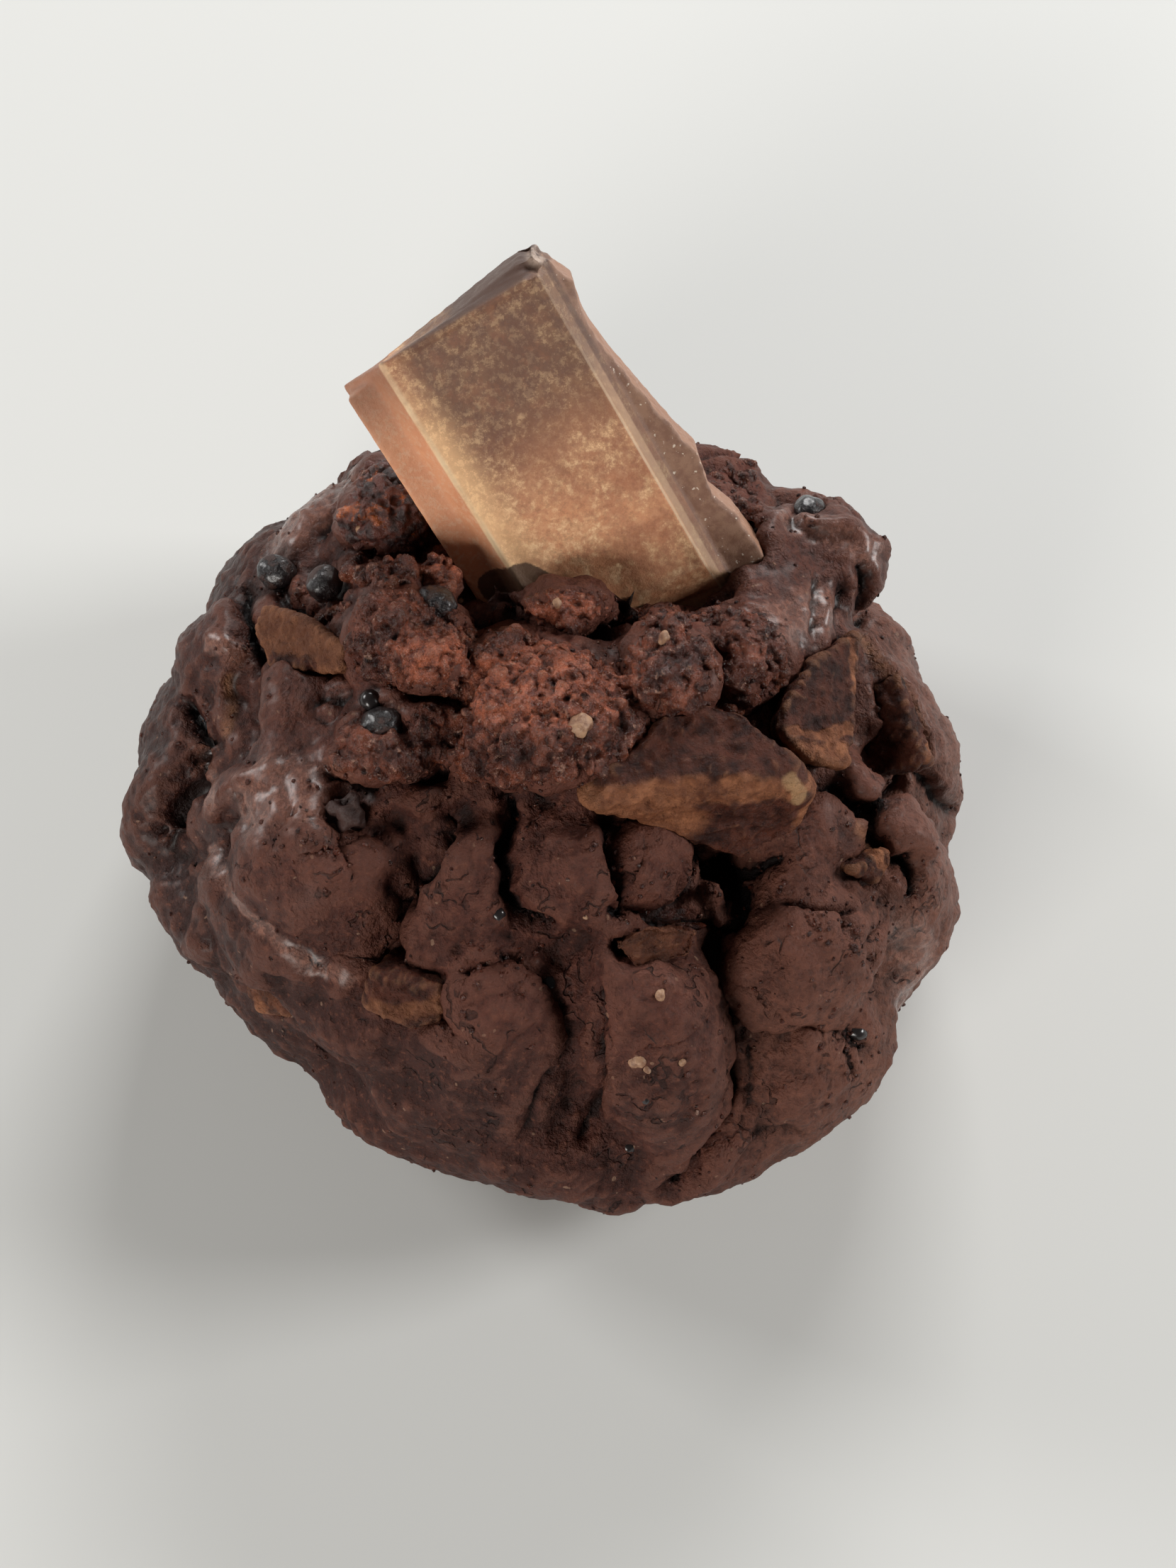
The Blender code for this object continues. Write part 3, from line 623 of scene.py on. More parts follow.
class Finish:
    """A procedural material for one kind of surface."""

    def __init__(self, name, fixed):
        self.material = bpy.data.materials.new(name)
        self.material.use_nodes = True
        self.tree = self.material.node_tree
        self.shader = self.tree.nodes["Principled BSDF"]
        for socket, value in fixed.items():
            self.shader.inputs[socket].default_value = value
        self.place = self.node("ShaderNodeTexCoord", output="Object")

    def node(self, kind, settings=None, sockets=None, output=0):
        """Adds a node: its settings first, then the values or links of its sockets."""
        made = self.tree.nodes.new(kind)
        for name, value in (settings or {}).items():
            setattr(made, name, value)
        for name, value in (sockets or {}).items():
            if isinstance(value, Value):
                self.tree.links.new(value.socket, made.inputs[name])
            else:
                made.inputs[name].default_value = value
        return Value(self, made.outputs[output])

    def noise(self, size, seed, detail=3.0, rough=0.55, place=None):
        """Noise with forms of a size in millimetres. The seed sets it apart from the others."""
        return self.node("ShaderNodeTexNoise", {"noise_dimensions": "4D"}, {
            "Vector": place or self.place, "W": seed, "Scale": 1 / (size * MM), "Detail": detail,
            "Roughness": rough})

    def warped(self, size, amount, seed):
        """The place on the piece, shifted by noise, so that what follows it wanders."""
        drift = self.node("ShaderNodeTexNoise", {"noise_dimensions": "4D"}, {
            "Vector": self.place, "W": seed, "Scale": 1 / (size * MM), "Detail": 2.0}, "Color")
        return self.node("ShaderNodeVectorMath", {"operation": "MULTIPLY_ADD"}, {
            0: drift, 1: (amount * MM,) * 3, 2: self.place})

    def stretched(self, stretch):
        """The place on the piece, squeezed along each axis."""
        return self.node("ShaderNodeVectorMath", {"operation": "MULTIPLY"}, {0: self.place, 1: stretch})

    def painted(self, *names):
        """The values painted on the piece under these names."""
        return [self.node("ShaderNodeAttribute", {"attribute_name": name}, output="Fac") for name in names]

    def mix(self, mask, first, second):
        """The first colour where mask is 0, and the second where it is 1."""
        colours = {6: first, 7: second}
        return self.node("ShaderNodeMix", {"data_type": "RGBA"}, {0: mask} | {
            key: value if isinstance(value, Value) else (*value, 1.0) for key, value in colours.items()}, 2)

    def layered(self, colour, *coats):
        """The colour under further coats, each a mask and a colour."""
        for mask, coat in coats:
            colour = self.mix(mask, colour, coat)
        return colour

    def blend(self, mask, first, second):
        """The first number where mask is 0, and the second where it is 1."""
        return self.node("ShaderNodeMix", {"data_type": "FLOAT"}, {0: mask, 2: first, 3: second}, 0)

    def bump(self, height, depth, under=None):
        """Relief of that depth in millimetres, on top of the relief under it."""
        sockets = {"Height": height, "Strength": 1.0, "Distance": depth * MM}
        if under is not None:
            sockets["Normal"] = under
        return self.node("ShaderNodeBump", None, sockets, "Normal")

    def feed(self, socket, value):
        self.tree.links.new(value.socket, self.shader.inputs[socket])

    def finished(self, colour, roughness, reliefs, coat=None):
        """The material, fed with a colour, a roughness, layers of relief and a coat."""
        self.feed("Base Color", colour)
        self.feed("Roughness", roughness)
        if coat is not None:
            self.feed("Coat Weight", coat)
        relief = None
        for height, depth in reliefs:
            relief = self.bump(height, depth, relief)
        self.feed("Normal", relief)
        return self.material


def dough_finish():
    """Baked dough: fine-grained reddish skin, glossy where it was stretched, with ragged cracks and hollows
    painted dark as shade, painted shade on its low left, and painted highlights on its top, ridges, glossy
    streaks and low right.
    """
    finish = Finish("baked_dough", {"Specular IOR Level": 0.2, "Coat Roughness": 0.34})
    crumb, sheen, gloss, tan = finish.painted("crumb", "sheen", "gloss", "tan")
    hollow, crack, dry, dusky, upward = finish.painted("hollow", "crack", "dry", "dusky", "upward")
    ragged = finish.noise(1.5, 6, 5, 0.7)
    broad = finish.noise(13, 1).between(0.38, 0.62)
    mottle = finish.noise(2.8, 2, 5, 0.66).between(0.38, 0.64)
    grit = finish.noise(0.6, 3, 4, 0.66)
    speck = finish.noise(0.9, 12, 1).between(0.72, 0.76)
    # painted highlight: the dough is painted lighter where it stands above its surroundings, on its ridges
    # and lumps
    edge = (hollow * -1.0).between(0.05, 0.45)
    # painted shade: the cracks and the fine cracks below are painted nearly black, as the shade inside them
    split = 1 - (crack + (ragged - 0.5) * 1.5).between(0.1, 0.34)
    fine = finish.noise(3.4, 7, 2, 0.5, finish.warped(1.2, 1, 6))
    fine = 1 - abs(fine - 0.5).between(0.004, 0.022)
    fine = fine * finish.noise(4.5, 8).between(0.52, 0.6) * (1 - sheen)
    glossy = (gloss + (ragged - 0.5) * 1.6).between(0.1, 0.9)
    colour = finish.layered(
        finish.mix(broad, (0.038, 0.0115, 0.0082), (0.068, 0.021, 0.0145)),
        (mottle * 0.46, (0.115, 0.036, 0.0235)),
        # painted light: up-facing dough is painted lighter and redder, as lit from above
        (upward * 0.34, (0.165, 0.056, 0.037)),
        # painted light: the low right side is painted lighter, as lit from the right
        (dry * (0.5 + mottle * 0.4), (0.24, 0.105, 0.07)),
        # painted shade: the low left and front of the dough are painted darker
        (dusky * 0.85, (0.03, 0.0086, 0.006)),
        ((1 - grit).between(0.46, 0.66) * 0.5, (0.014, 0.0034, 0.0024)),
        (grit.between(0.55, 0.66) * 0.34, (0.23, 0.086, 0.052)),
        (speck * 0.6, (0.32, 0.19, 0.125)),
        (crumb * 0.6, (0.1, 0.024, 0.013)),
        # painted highlight: an orange-tan line along the lit edges of three ridges
        (tan * 0.8, (0.36, 0.17, 0.09)),
        # painted highlight on the ridges and lumps
        (edge * 0.38, (0.18, 0.068, 0.044)),
        # painted highlight: the glossy streaks are also painted lighter
        (glossy * (0.25 + grit.between(0.48, 0.6) * 0.35), (0.31, 0.135, 0.09)),
        # painted shade: the dough is painted nearly black in its hollows
        (hollow.between(0, 0.75) * 0.85, (0.007, 0.0022, 0.0016)),
        # painted shade in the cracks and fine cracks
        (split * 0.95, (0.004, 0.0012, 0.0009)),
        (fine * 0.6, (0.012, 0.0038, 0.0028)))
    shine = sheen * (1 - finish.noise(2.2, 5, 3, 0.6).between(0.35, 0.65) * 0.45)
    rough = finish.blend(glossy, finish.blend(shine, 0.56, 0.4), 0.26) + (grit - 0.5) * 0.5
    soft = finish.noise(2.2, 11, 3, 0.5)
    reliefs = ((soft, 0.9), (grit, 0.5), (1 - split, 0.6), (1 - fine, 0.3))
    return finish.finished(colour, rough, reliefs, shine * 0.2 + glossy * 0.6)


def crumb_finish():
    """Open crumb: moist reddish brown, rough, with painted glints of sugar, painted highlights on its grains,
    a painted pool of warm light in its middle, and holes painted black as shade.
    """
    finish = Finish("open_crumb", {"Specular IOR Level": 0.5})
    hollow, red = finish.painted("hollow", "red")
    mottle = finish.noise(1.4, 11, 5, 0.68).between(0.36, 0.64)
    dark = finish.mix(mottle, (0.042, 0.0098, 0.0058), (0.15, 0.039, 0.022))
    warm = finish.mix(mottle, (0.15, 0.033, 0.017), (0.68, 0.205, 0.108))
    grit = finish.noise(0.72, 12, 4, 0.75)
    colour = finish.layered(
        # the crumb's own red varies at random, and its middle is painted warm and bright as a pool of warm
        # light
        finish.mix(red, dark, warm),
        # painted highlight on the tops of the grains, warmest where the pool of warm light is painted
        ((hollow * -1.0).between(0.04, 0.26) * (0.14 + red * 0.44), (0.4, 0.15, 0.085)),
        # painted shade: the holes between the grains are painted nearly black
        (hollow.between(0, 0.3) * 0.86, (0.0075, 0.002, 0.0014)),
        # painted glints: tiny bright highlights scattered over the crumb
        (grit.between(0.58, 0.66) * 0.6, (0.74, 0.42, 0.3)))
    moist = finish.noise(0.8, 13, 3).between(0.42, 0.56)
    reliefs = ((finish.noise(1.1, 14, 6, 0.75), 1.3), (grit, 0.7))
    return finish.finished(colour, finish.blend(moist, 0.42, 0.11), reliefs)


def broken_chocolate_finish():
    """Broken milk chocolate, with a ragged film of dark dough baked onto some faces, painted highlights on
    its edges and painted shade in its hollows and on some whole pieces.
    """
    finish = Finish("broken_milk_chocolate", {"Specular IOR Level": 0.18})
    film, hollow, pale, dim = finish.painted("film", "hollow", "pale", "dim")
    grainy = finish.noise(2, 21, 6, 0.68).between(0.34, 0.66)
    streak = finish.noise(1.1, 22, 4, 0.6, finish.stretched((0.4, 0.4, 1.5))).between(0.38, 0.64)
    ragged = finish.noise(2.6, 23, 6, 0.72) - 0.5
    covered = (film + ragged * 1.1).between(0.15, 0.85)
    skin = finish.mix(grainy, (0.019, 0.0046, 0.0028), (0.095, 0.027, 0.015))
    colour = finish.layered(
        finish.mix(grainy, (0.1, 0.031, 0.014), (0.35, 0.14, 0.066)),
        (streak * 0.6, (0.18, 0.061, 0.027)),
        # painted shade: some pieces are painted darker all over
        (dim * 0.5, (0.075, 0.027, 0.014)),
        (covered, skin),
        ((pale + ragged * 1.2).between(0.4, 0.9) * 0.6, (0.52, 0.32, 0.16)),
        # painted highlight on the edges that stand out
        ((hollow * -1.0).between(0.04, 0.26) * 0.35, (0.36, 0.16, 0.08)),
        # painted shade in the hollows
        (hollow.between(0.04, 0.36) * 0.7, (0.016, 0.005, 0.0034)))
    grit = finish.noise(0.6, 25, 4, 0.7)
    rough = finish.blend(covered, 0.5, 0.46) + (grit - 0.5) * 0.3
    reliefs = ((finish.noise(1.5, 24, 6, 0.68), 0.9), (grit, 0.3), (covered, 0.15))
    return finish.finished(colour, rough, reliefs)


def bar_finish():
    """Moulded milk chocolate under specks of pale bloom, with a painted golden glow at the lower left,
    painted shade at the top, a left wall painted brighter as lit, painted highlights, reflection and shade
    along its edges, and a painted shadow at its lower left corner.
    """
    finish = Finish("milk_chocolate_bar", {"Specular IOR Level": 0.5})
    across, along, level = finish.painted("across", "along", "level")
    hollow, stain = finish.painted("hollow", "stain")
    cloud = finish.noise(6, 31, 5, 0.62).between(0.36, 0.64)
    mottle = finish.noise(1.3, 32, 6, 0.7).between(0.4, 0.62)
    wear = finish.noise(0.75, 33, 8, 0.82)
    fleck = wear.between(0.505, 0.55)
    # painted shade: the upper part of the face is painted darker
    dusk = along.between(-6, 9) * across.between(-9.5, -5)
    bloom = mottle * (1 - dusk * 0.8) * finish.noise(3.6, 37, 4, 0.6).between(0.36, 0.58)
    worn = finish.noise(2.4, 39, 5, 0.7).between(0.5, 0.62) * (1 - across.between(4, 8) * 0.5)
    # painted highlight: a warm golden glow on the face beside its left crease
    glow = (1 - across.between(-8, -4)) * (1 - along.between(4, 16)) * level.between(-0.9, -0.3)
    wall = 1 - across.between(-8.75, -8.45)
    # painted light: the left wall is painted brighter than the face, as lit, and darker towards its top
    walled = finish.layered(
        finish.mix(cloud * 0.6, (0.7, 0.3, 0.155), (0.84, 0.41, 0.225)),
        (fleck * 0.4, (0.8, 0.54, 0.36)),
        (along.between(6, 17) * 0.75, (0.19, 0.078, 0.045)))
    # painted highlight: a bright line along the crease between the left wall and the face
    line = across.between(-8.85, -8.6) * (1 - across.between(-8.35, -7.9)) * level.between(-1.2, -0.5)
    white = finish.noise(0.42, 34, 2, 0.5).between(0.64, 0.72)
    land = finish.layered(
        finish.mix(mottle * 0.7, (0.21, 0.1, 0.06), (0.35, 0.2, 0.128)),
        (white * 0.85, (0.78, 0.68, 0.56)))
    broken = (1 - level.between(-2.95, -2.55)) * across.between(8.8, 9.6)
    fade = 1 - along.between(-2, 12) * 0.75
    # painted reflection and highlight along the right bevel, painted shade in the groove beside it, and
    # painted shade on the top bevel
    band = across.between(8.55, 8.75) * (1 - across.between(9.2, 9.4)) * fade
    trim = across.between(8.35, 8.45) * (1 - across.between(8.55, 8.7)) * fade
    groove = across.between(9.2, 9.35) * (1 - across.between(9.6, 9.9))
    brow = along.between(16.5, 16.9) * across.between(-8.6, -8.2)
    tip = across.between(7.6, 8.6) * along.between(16.2, 17) * mottle
    # painted shadow: a dark patch on the lower left corner of the face, cast by the crumb in front
    wet = (stain + finish.noise(1.6, 38, 5, 0.65) - 0.5).between(0.42, 0.6)
    colour = finish.layered(
        finish.mix(cloud, (0.47, 0.192, 0.096), (0.7, 0.315, 0.155)),
        # painted shade on the upper part of the face
        (dusk * 0.92, (0.12, 0.054, 0.034)),
        (bloom * 0.68, (0.84, 0.52, 0.28)),
        (fleck * (0.1 + bloom * 0.9), (0.97, 0.66, 0.37)),
        (worn * 0.3, (0.34, 0.134, 0.066)),
        ((1 - wear).between(0.52, 0.6) * 0.34, (0.23, 0.092, 0.045)),
        # painted golden highlight beside the left crease
        (glow * (0.65 + fleck * 0.35), (0.98, 0.62, 0.32)),
        ((1 - along.between(-17, -11)) * 0.16, (0.38, 0.2, 0.116)),
        # the left wall, painted brighter as lit
        (wall, walled),
        # painted highlight along the left crease
        (line * (0.35 + cloud * 0.6), (0.9, 0.68, 0.42)),
        (across.between(9.6, 9.9), land),
        (broken * 0.7, (0.38, 0.2, 0.126)),
        # painted reflection, shade and highlight along the right bevel, and painted shade on the top bevel
        (band * 0.75, (0.44, 0.29, 0.18)),
        (groove * 0.6, (0.11, 0.055, 0.036)),
        (trim * 0.7, (0.7, 0.52, 0.34)),
        (brow * 0.95, (0.09, 0.044, 0.03)),
        # painted shade in the hollows
        (hollow.between(0.08, 0.5) * 0.4, (0.13, 0.06, 0.038)),
        (tip * 0.8, (0.62, 0.48, 0.39)),
        # painted shadow on the lower left corner
        (wet * 0.88, (0.052, 0.0215, 0.0135)))
    reliefs = ((finish.noise(3, 35, 5, 0.6), 0.3), (wear, 0.1))
    return finish.finished(colour, finish.blend(mottle, 0.42, 0.58), reliefs)


def glaze_finish():
    """The hard dark glaze of the pearls, scuffed, and in places under a skin of dough."""
    finish = Finish("dark_glaze", {"Specular IOR Level": 0.5, "Coat Roughness": 0.22})
    coated, = finish.painted("coated")
    skin = (finish.noise(1.7, 41, 5, 0.66) + coated * 0.3).between(0.5, 0.6)
    colour = finish.mix(skin, (0.009, 0.0066, 0.0074), (0.05, 0.0225, 0.0175))
    reliefs = ((finish.noise(1.2, 42, 5, 0.65), 0.45), (skin, 0.16))
    return finish.finished(colour, finish.blend(skin, 0.3, 0.6), reliefs, finish.blend(skin, 0.45, 0.0))


def nut_finish():
    """Toasted nut, pale with browned patches."""
    finish = Finish("toasted_nut", {"Specular IOR Level": 0.4})
    patch = finish.noise(0.9, 61, 4, 0.6).between(0.36, 0.66)
    colour = finish.mix(patch, (0.42, 0.25, 0.15), (0.18, 0.08, 0.045))
    reliefs = ((finish.noise(0.5, 62, 4, 0.65), 0.2),)
    return finish.finished(colour, finish.blend(patch, 0.34, 0.55), reliefs)


def amber_finish():
    """Dark crumb soaked in sugar that has run and set, from nearly black to amber."""
    finish = Finish("amber_sugar", {"Specular IOR Level": 0.6})
    hollow, = finish.painted("hollow")
    patch = finish.noise(2.6, 63, 5, 0.6).between(0.54, 0.66)
    mottle = finish.noise(1.2, 65, 4).between(0.4, 0.6)
    colour = finish.layered(
        finish.mix(mottle, (0.022, 0.006, 0.0045), (0.11, 0.028, 0.017)),
        (patch, (0.46, 0.11, 0.022)),
        # painted shade in the hollows
        (hollow.between(0, 0.3) * 0.8, (0.006, 0.0018, 0.0014)))
    reliefs = ((finish.noise(0.9, 64, 5, 0.7), 0.6),)
    return finish.finished(colour, finish.blend(patch, 0.34, 0.12), reliefs)


def floor_finish():
    """A pale, matt, faintly clouded floor."""
    finish = Finish("pale_floor", {"Roughness": 0.85, "Specular IOR Level": 0.2})
    finish.feed("Base Color", finish.mix(finish.noise(180, 51), (0.665, 0.672, 0.655), (0.685, 0.692, 0.675)))
    return finish.material


def bearing_of(points):
    """0 at the front of the cookie, 90 at its right and -90 at its left."""
    return np.degrees(np.arctan2(points[:, 0], -points[:, 1]))


def clump_share(clay, clumps, soft=1.25):
    """1 in the middle of the clumps that the camera sees, and 0 outside them."""
    share = np.zeros(len(clay.points))
    right, up, back = camera_axes()
    origin = np.array(CAMERA_AIM + back * CAMERA_REACH)
    away = clay.points - origin
    depth = -(away @ np.array(back))
    across = PHOTO_WIDTH / 2 + CAMERA_FOCAL * (away @ np.array(right)) / depth
    down = PHOTO_HEIGHT / 2 - CAMERA_FOCAL * (away @ np.array(up)) / depth
    facing = ramp(clay.out @ np.array(back), -0.3, 0.1)
    wander = clay.grains(CLUMP_WANDER)
    for middle, half, _ in clumps:
        reach = np.hypot((across - middle[0]) / half[0], (down - middle[1]) / half[1])
        share = np.maximum(share, 1 - ramp(reach + wander, 0.8, soft))
    return share * facing


def lump_dough(clay, off_base, back):
    """Gives the dough broad lumps and plain folds, which are stronger at the back."""
    drift = FOLD_DRIFT * clay.grain(7.0, 4)[:, None]
    folds = bell(grain(clay.points + drift, 11.0, 3), FOLD_WIDTH)
    folds = folds * ramp(clay.grain(8.0, 92), -0.15, 0.35)
    lumps = BACK_LUMPS * back * clay.grain(9.0, 93)
    depth = FOLD_DEPTH[0] + FOLD_DEPTH[1] * back
    clay.push(off_base * (clay.grains(DOUGH_LUMPS) + lumps - depth * folds))


def crease_dough(clay, off_base):
    """Presses in the creases and raises the rolls and knobs. Gives each point's distance to a split, where
    the dough is painted black as shade.
    """
    moved = np.zeros(len(clay.points))
    crack = np.full(len(clay.points), NO_CRACK)
    ragged = clay.grains(CREASE_WANDER)
    for lines in (CREASES, VALLEYS):
        for width, depth, pixels in lines.values():
            gap = clay.gap_to(pixels, 5 * width + 3)
            if lines is CREASES:
                crack = np.minimum(crack, gap - 0.35 * (width - 0.7))
            gap = np.maximum(gap + ragged * width, 0)
            moved -= depth * (0.4 * bell(gap, width) + 0.6 * bell(gap, 0.42 * width))
            moved += 0.2 * depth * bell(gap - 2.0 * width, width)
    for width, rise, pixels in RIDGES.values():
        moved += rise * bell(clay.gap_to(pixels, 4 * width), width)
    for pixel, radius, rise in KNOBS.values():
        gap = clay.gap_to((pixel, (pixel[0] + 1, pixel[1])), 3 * radius)
        moved += rise * np.sqrt(np.maximum(0, 1 - (gap / radius) ** 2))
        moved -= 0.5 * rise * bell(gap - radius * 1.1, 0.5)
    clay.push(off_base * moved)
    return crack


def swell_dough(clay, off_base, clumps):
    """Raises the dough under the clumps of open crumb, and its broad lobes."""
    swell = np.zeros(len(clay.points))
    for clump in clumps:
        swell = np.maximum(swell, clump[2] * clump_share(clay, [clump], CLUMP_EDGE))
    for lump in SWELLS.values():
        swell += lump[2] * clump_share(clay, [lump], SWELL_EDGE)
    clay.push(off_base * swell)


def paint_dough(clay, bearing, crack, open_crumb):
    """Paints where the dough is open, split and glossy, with painted light on its top, ridges and low right,
    and painted shade on its low left.
    """
    height = clay.points[:, 2]
    left = ramp(-bearing, 30, 70) * (1 - ramp(-bearing, 150, 175))
    right = ramp(bearing, 55, 80) * (1 - ramp(bearing, 130, 150)) * 0.8
    low_right = ramp(bearing, 12, 50) * (1 - ramp(bearing, 130, 150)) * (1 - ramp(height, 26, 46))
    # painted highlight along the lit edges of three ridges
    tan = np.zeros(len(clay.points))
    for name in ("tan ridge", "right shoulder edge", "lit fold"):
        tan = np.maximum(tan, bell(clay.gap_to(RIDGES[name][2], 4), 0.5))
    clay.paint(
        hollow=clay.hollows(24) + 0.5 * clay.hollows(6),
        crumb=open_crumb,
        crack=crack,
        sheen=np.clip(left + right, 0, 1) * (1 - 0.8 * open_crumb),
        # real gloss, and a painted highlight in the dough's colour
        gloss=stroked(clay, GLOSS),
        # painted light on the up-facing dough
        upward=ramp(clay.averaged(clay.out[:, 2], 12), 0.5, 0.95),
        # painted light on the low right side
        dry=low_right * 0.75,
        # painted shade on the low left and front
        dusky=(1 - ramp(bearing, -55, 35)) * (1 - ramp(height, 30, 46)),
        tan=tan)


def make_dough():
    """The body of the cookie: the CAD dough with its creases, rolls, lumps and small relief."""
    dough = remeshed(copy_of_nodes("cookie_dough", ["dough"]), DOUGH_VOXEL)
    clay = Clay(dough)
    clay.soften(DOUGH_SMOOTH_STEPS)
    off_base = ramp(clay.points[:, 2], 0.3, 3.0)
    bearing = bearing_of(clay.points)
    lump_dough(clay, off_base, ramp(np.abs(bearing), 100, 135))
    crack = crease_dough(clay, off_base)
    clumps = (*CRUMB_CLUMPS.values(), *AMBER_CLUMPS.values())
    swell_dough(clay, off_base, clumps)
    open_crumb = clump_share(clay, clumps)
    small = clay.grains(DOUGH_GRAIN) + clay.billows(DOUGH_PUCKERS)
    clay.push(off_base * (small + open_crumb * clay.billows(CRUMB_CRAGS)))
    clay.points[:, 2] = np.maximum(clay.points[:, 2], 0.0)
    clay.refresh()
    paint_dough(clay, bearing, crack, open_crumb)
    finish_piece(dough, dough_finish(), ["dough"])
    return clay


def make_crumb(name, dough, clumps, finish):
    """Open crumb: grains heaped in clumps and fused to one ragged skin."""
    draw = random.Random(CRUMB_SEED)
    placements = []
    for middle, half, rise in clumps.values():
        area = math.pi * half[0] * half[1] / PIXELS_PER_MM ** 2
        for _ in range(int(area * CRUMB_DENSITY * (1 + 0.5 * rise))):
            turn = draw.uniform(0, 2 * math.pi)
            reach = math.sqrt(draw.random())
            hit = dough.seen((middle[0] + half[0] * reach * math.cos(turn),
                              middle[1] + half[1] * reach * math.sin(turn)))
            if hit is None:
                continue
            radius = draw.uniform(*CRUMB_GRAIN) * (1.1 - 0.3 * reach)
            lift = 0.5 * rise * (1 - reach ** 2) * draw.random() - 0.35 * radius
            stretch = np.diag([radius * draw.uniform(0.75, 1.25) for _ in range(3)])
            placements.append((random_turn(draw) @ stretch, np.array(hit[0] + hit[1] * lift)))
    crumb = remeshed(joined_copies(name, unit_ball(1), placements), CRUMB_VOXEL)
    clay = Clay(crumb)
    clay.soften(1)
    clay.push(clay.billows(CRUMB_BILLOWS))
    # the middle of the crumb is marked for a painted pool of warm light, over a random red of its own
    centre = clump_share(clay, RED_CRUMB, RED_EDGE)
    red = np.clip(0.16 + 0.66 * centre + 0.45 * clay.grain(3.0, 9), 0, 1)
    clay.paint(hollow=clay.hollows(10), red=red)
    finish_piece(crumb, finish)
    return clay


def bar_place():
    """The matrix that carries the bar's own plane, in millimetres, to its place in metres."""
    turn = Euler([math.radians(angle) for angle in BAR_TILT], "XYZ").to_matrix().to_4x4()
    return Matrix.Translation(Vector(BAR_FACE_CENTRE) * MM) @ turn


def make_bar():
    """The piece of bar, worked on while it lies flat in its own plane."""
    place = bar_place()
    bar = remeshed(copy_of_nodes("chocolate_bar", ["bar_piece"], place.inverted()), BAR_VOXEL)
    clay = Clay(bar)
    clay.soften(2)
    across, along, level = clay.points.T
    face = ramp(clay.out[:, 2], 0.75, 0.95) * ramp(level, *BAR_FRONT)
    inside = ramp(across, -8.2, -7.2) * (1 - ramp(across, 7.6, 8.4)) * (1 - ramp(np.abs(along), 15.6, 16.5))
    moved = -0.22 * face * inside
    moved += 0.14 * bell(across + 8.45, 0.4) * ramp(level, *BAR_FRONT)
    moved += face * 0.1 * clay.grain(5.0, 11)
    edge = ramp(across, 9.6, 10.4) * (1 - ramp(clay.out[:, 2], 0.6, 0.9)) * ramp(level, -7.5, -6.0)
    moved += edge * clay.grains(BAR_BREAK)
    corner = np.exp(-((across - 9.0) ** 2 + (along - 17.6) ** 2) / 3.2)
    moved += corner * (0.8 * clay.grain(1.3, 14) - 0.5)
    moved += 0.03 * clay.grain(1.0, 15)
    clay.push(moved)
    across, along, level = clay.points.T
    # the path of the shadow painted on the lower left corner of the face
    flat = clay.points * (1.0, 1.0, 0.0)
    gap = distance_to_path(flat, [np.array(spot + (0.0,)) for spot in BAR_STAIN])
    stain = 1 - ramp(gap, 0.8, 2.6)
    clay.paint(across=across, along=along, level=level, hollow=clay.hollows(10), stain=stain)
    bar.data.transform(place)
    finish_piece(bar, bar_finish(), ["bar_piece"])


def stroked(clay, strokes):
    """1 on the strokes laid on a piece, fading out at their width."""
    share = np.zeros(len(clay.points))
    ragged = clay.grains(STROKE_WANDER)
    for width, pixels in strokes:
        gap = clay.gap_to(pixels, 2 * width + 1.5) + ragged
        share = np.maximum(share, 1 - ramp(gap, 0.2 * width, 1.7 * width))
    return share


def make_chunks():
    """The broken pieces of chocolate, each with a ragged fracture under its film of dough."""
    finish = broken_chocolate_finish()
    for index, (name, (film, bared, covered)) in enumerate(CHUNKS.items()):
        chunk = remeshed(copy_of_nodes(name.replace("chunk", "chocolate"), [name]), CHUNK_VOXEL)
        clay = Clay(chunk)
        clay.soften(2)
        film_share = np.maximum(film * (1 - stroked(clay, bared)), stroked(clay, covered))
        rough = min(1.0, max(chunk.dimensions) / MM / LONG_CHUNK)
        torn = clay.grains(CHUNK_BREAK, index)
        torn = torn + clay.billows(CHUNK_LAYERS, index, (1, 1, 2))
        if name == "chunk_front_wedge":
            torn = torn + 1.5 * np.maximum(0, 1 - clay.gap_to(WEDGE_RIDGE, 4.5) / 4.2) - 0.5
        pitted = (1 - rough) * clay.billows(CHUNK_PITS, index, (1, 1, 0.5))
        swell = SUNKEN_CHUNKS.get(name, CHUNK_SWELL)
        clay.push(swell + (0.25 + 0.75 * rough) * torn + pitted)
        # painted shade on the pieces listed as shaded
        dim = np.full(len(clay.points), float(name in DIM_CHUNKS))
        pale = stroked(clay, PALE_TIPS.get(name, ()))
        clay.paint(dim=dim, hollow=clay.hollows(12), film=film_share, pale=pale)
        finish_piece(chunk, finish, [name])


def make_pearls():
    """The glazed pearls of the CAD model, scuffed, one of them under a skin of dough."""
    pearls = remeshed(copy_of_nodes("glazed_pearls", PEARLS), PEARL_VOXEL)
    clay = Clay(pearls)
    clay.soften(6)
    low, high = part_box(COATED_PEARL)
    middle = np.array((low + high) / 2) / MM
    coated = 1 - ramp(np.linalg.norm(clay.points - middle, axis=1), 3.5, 4.0)
    clay.push(clay.grains(PEARL_DENTS) + coated * (clay.grains(PEARL_COAT) - 0.6))
    clay.paint(coated=coated)
    finish_piece(pearls, glaze_finish(), PEARLS)


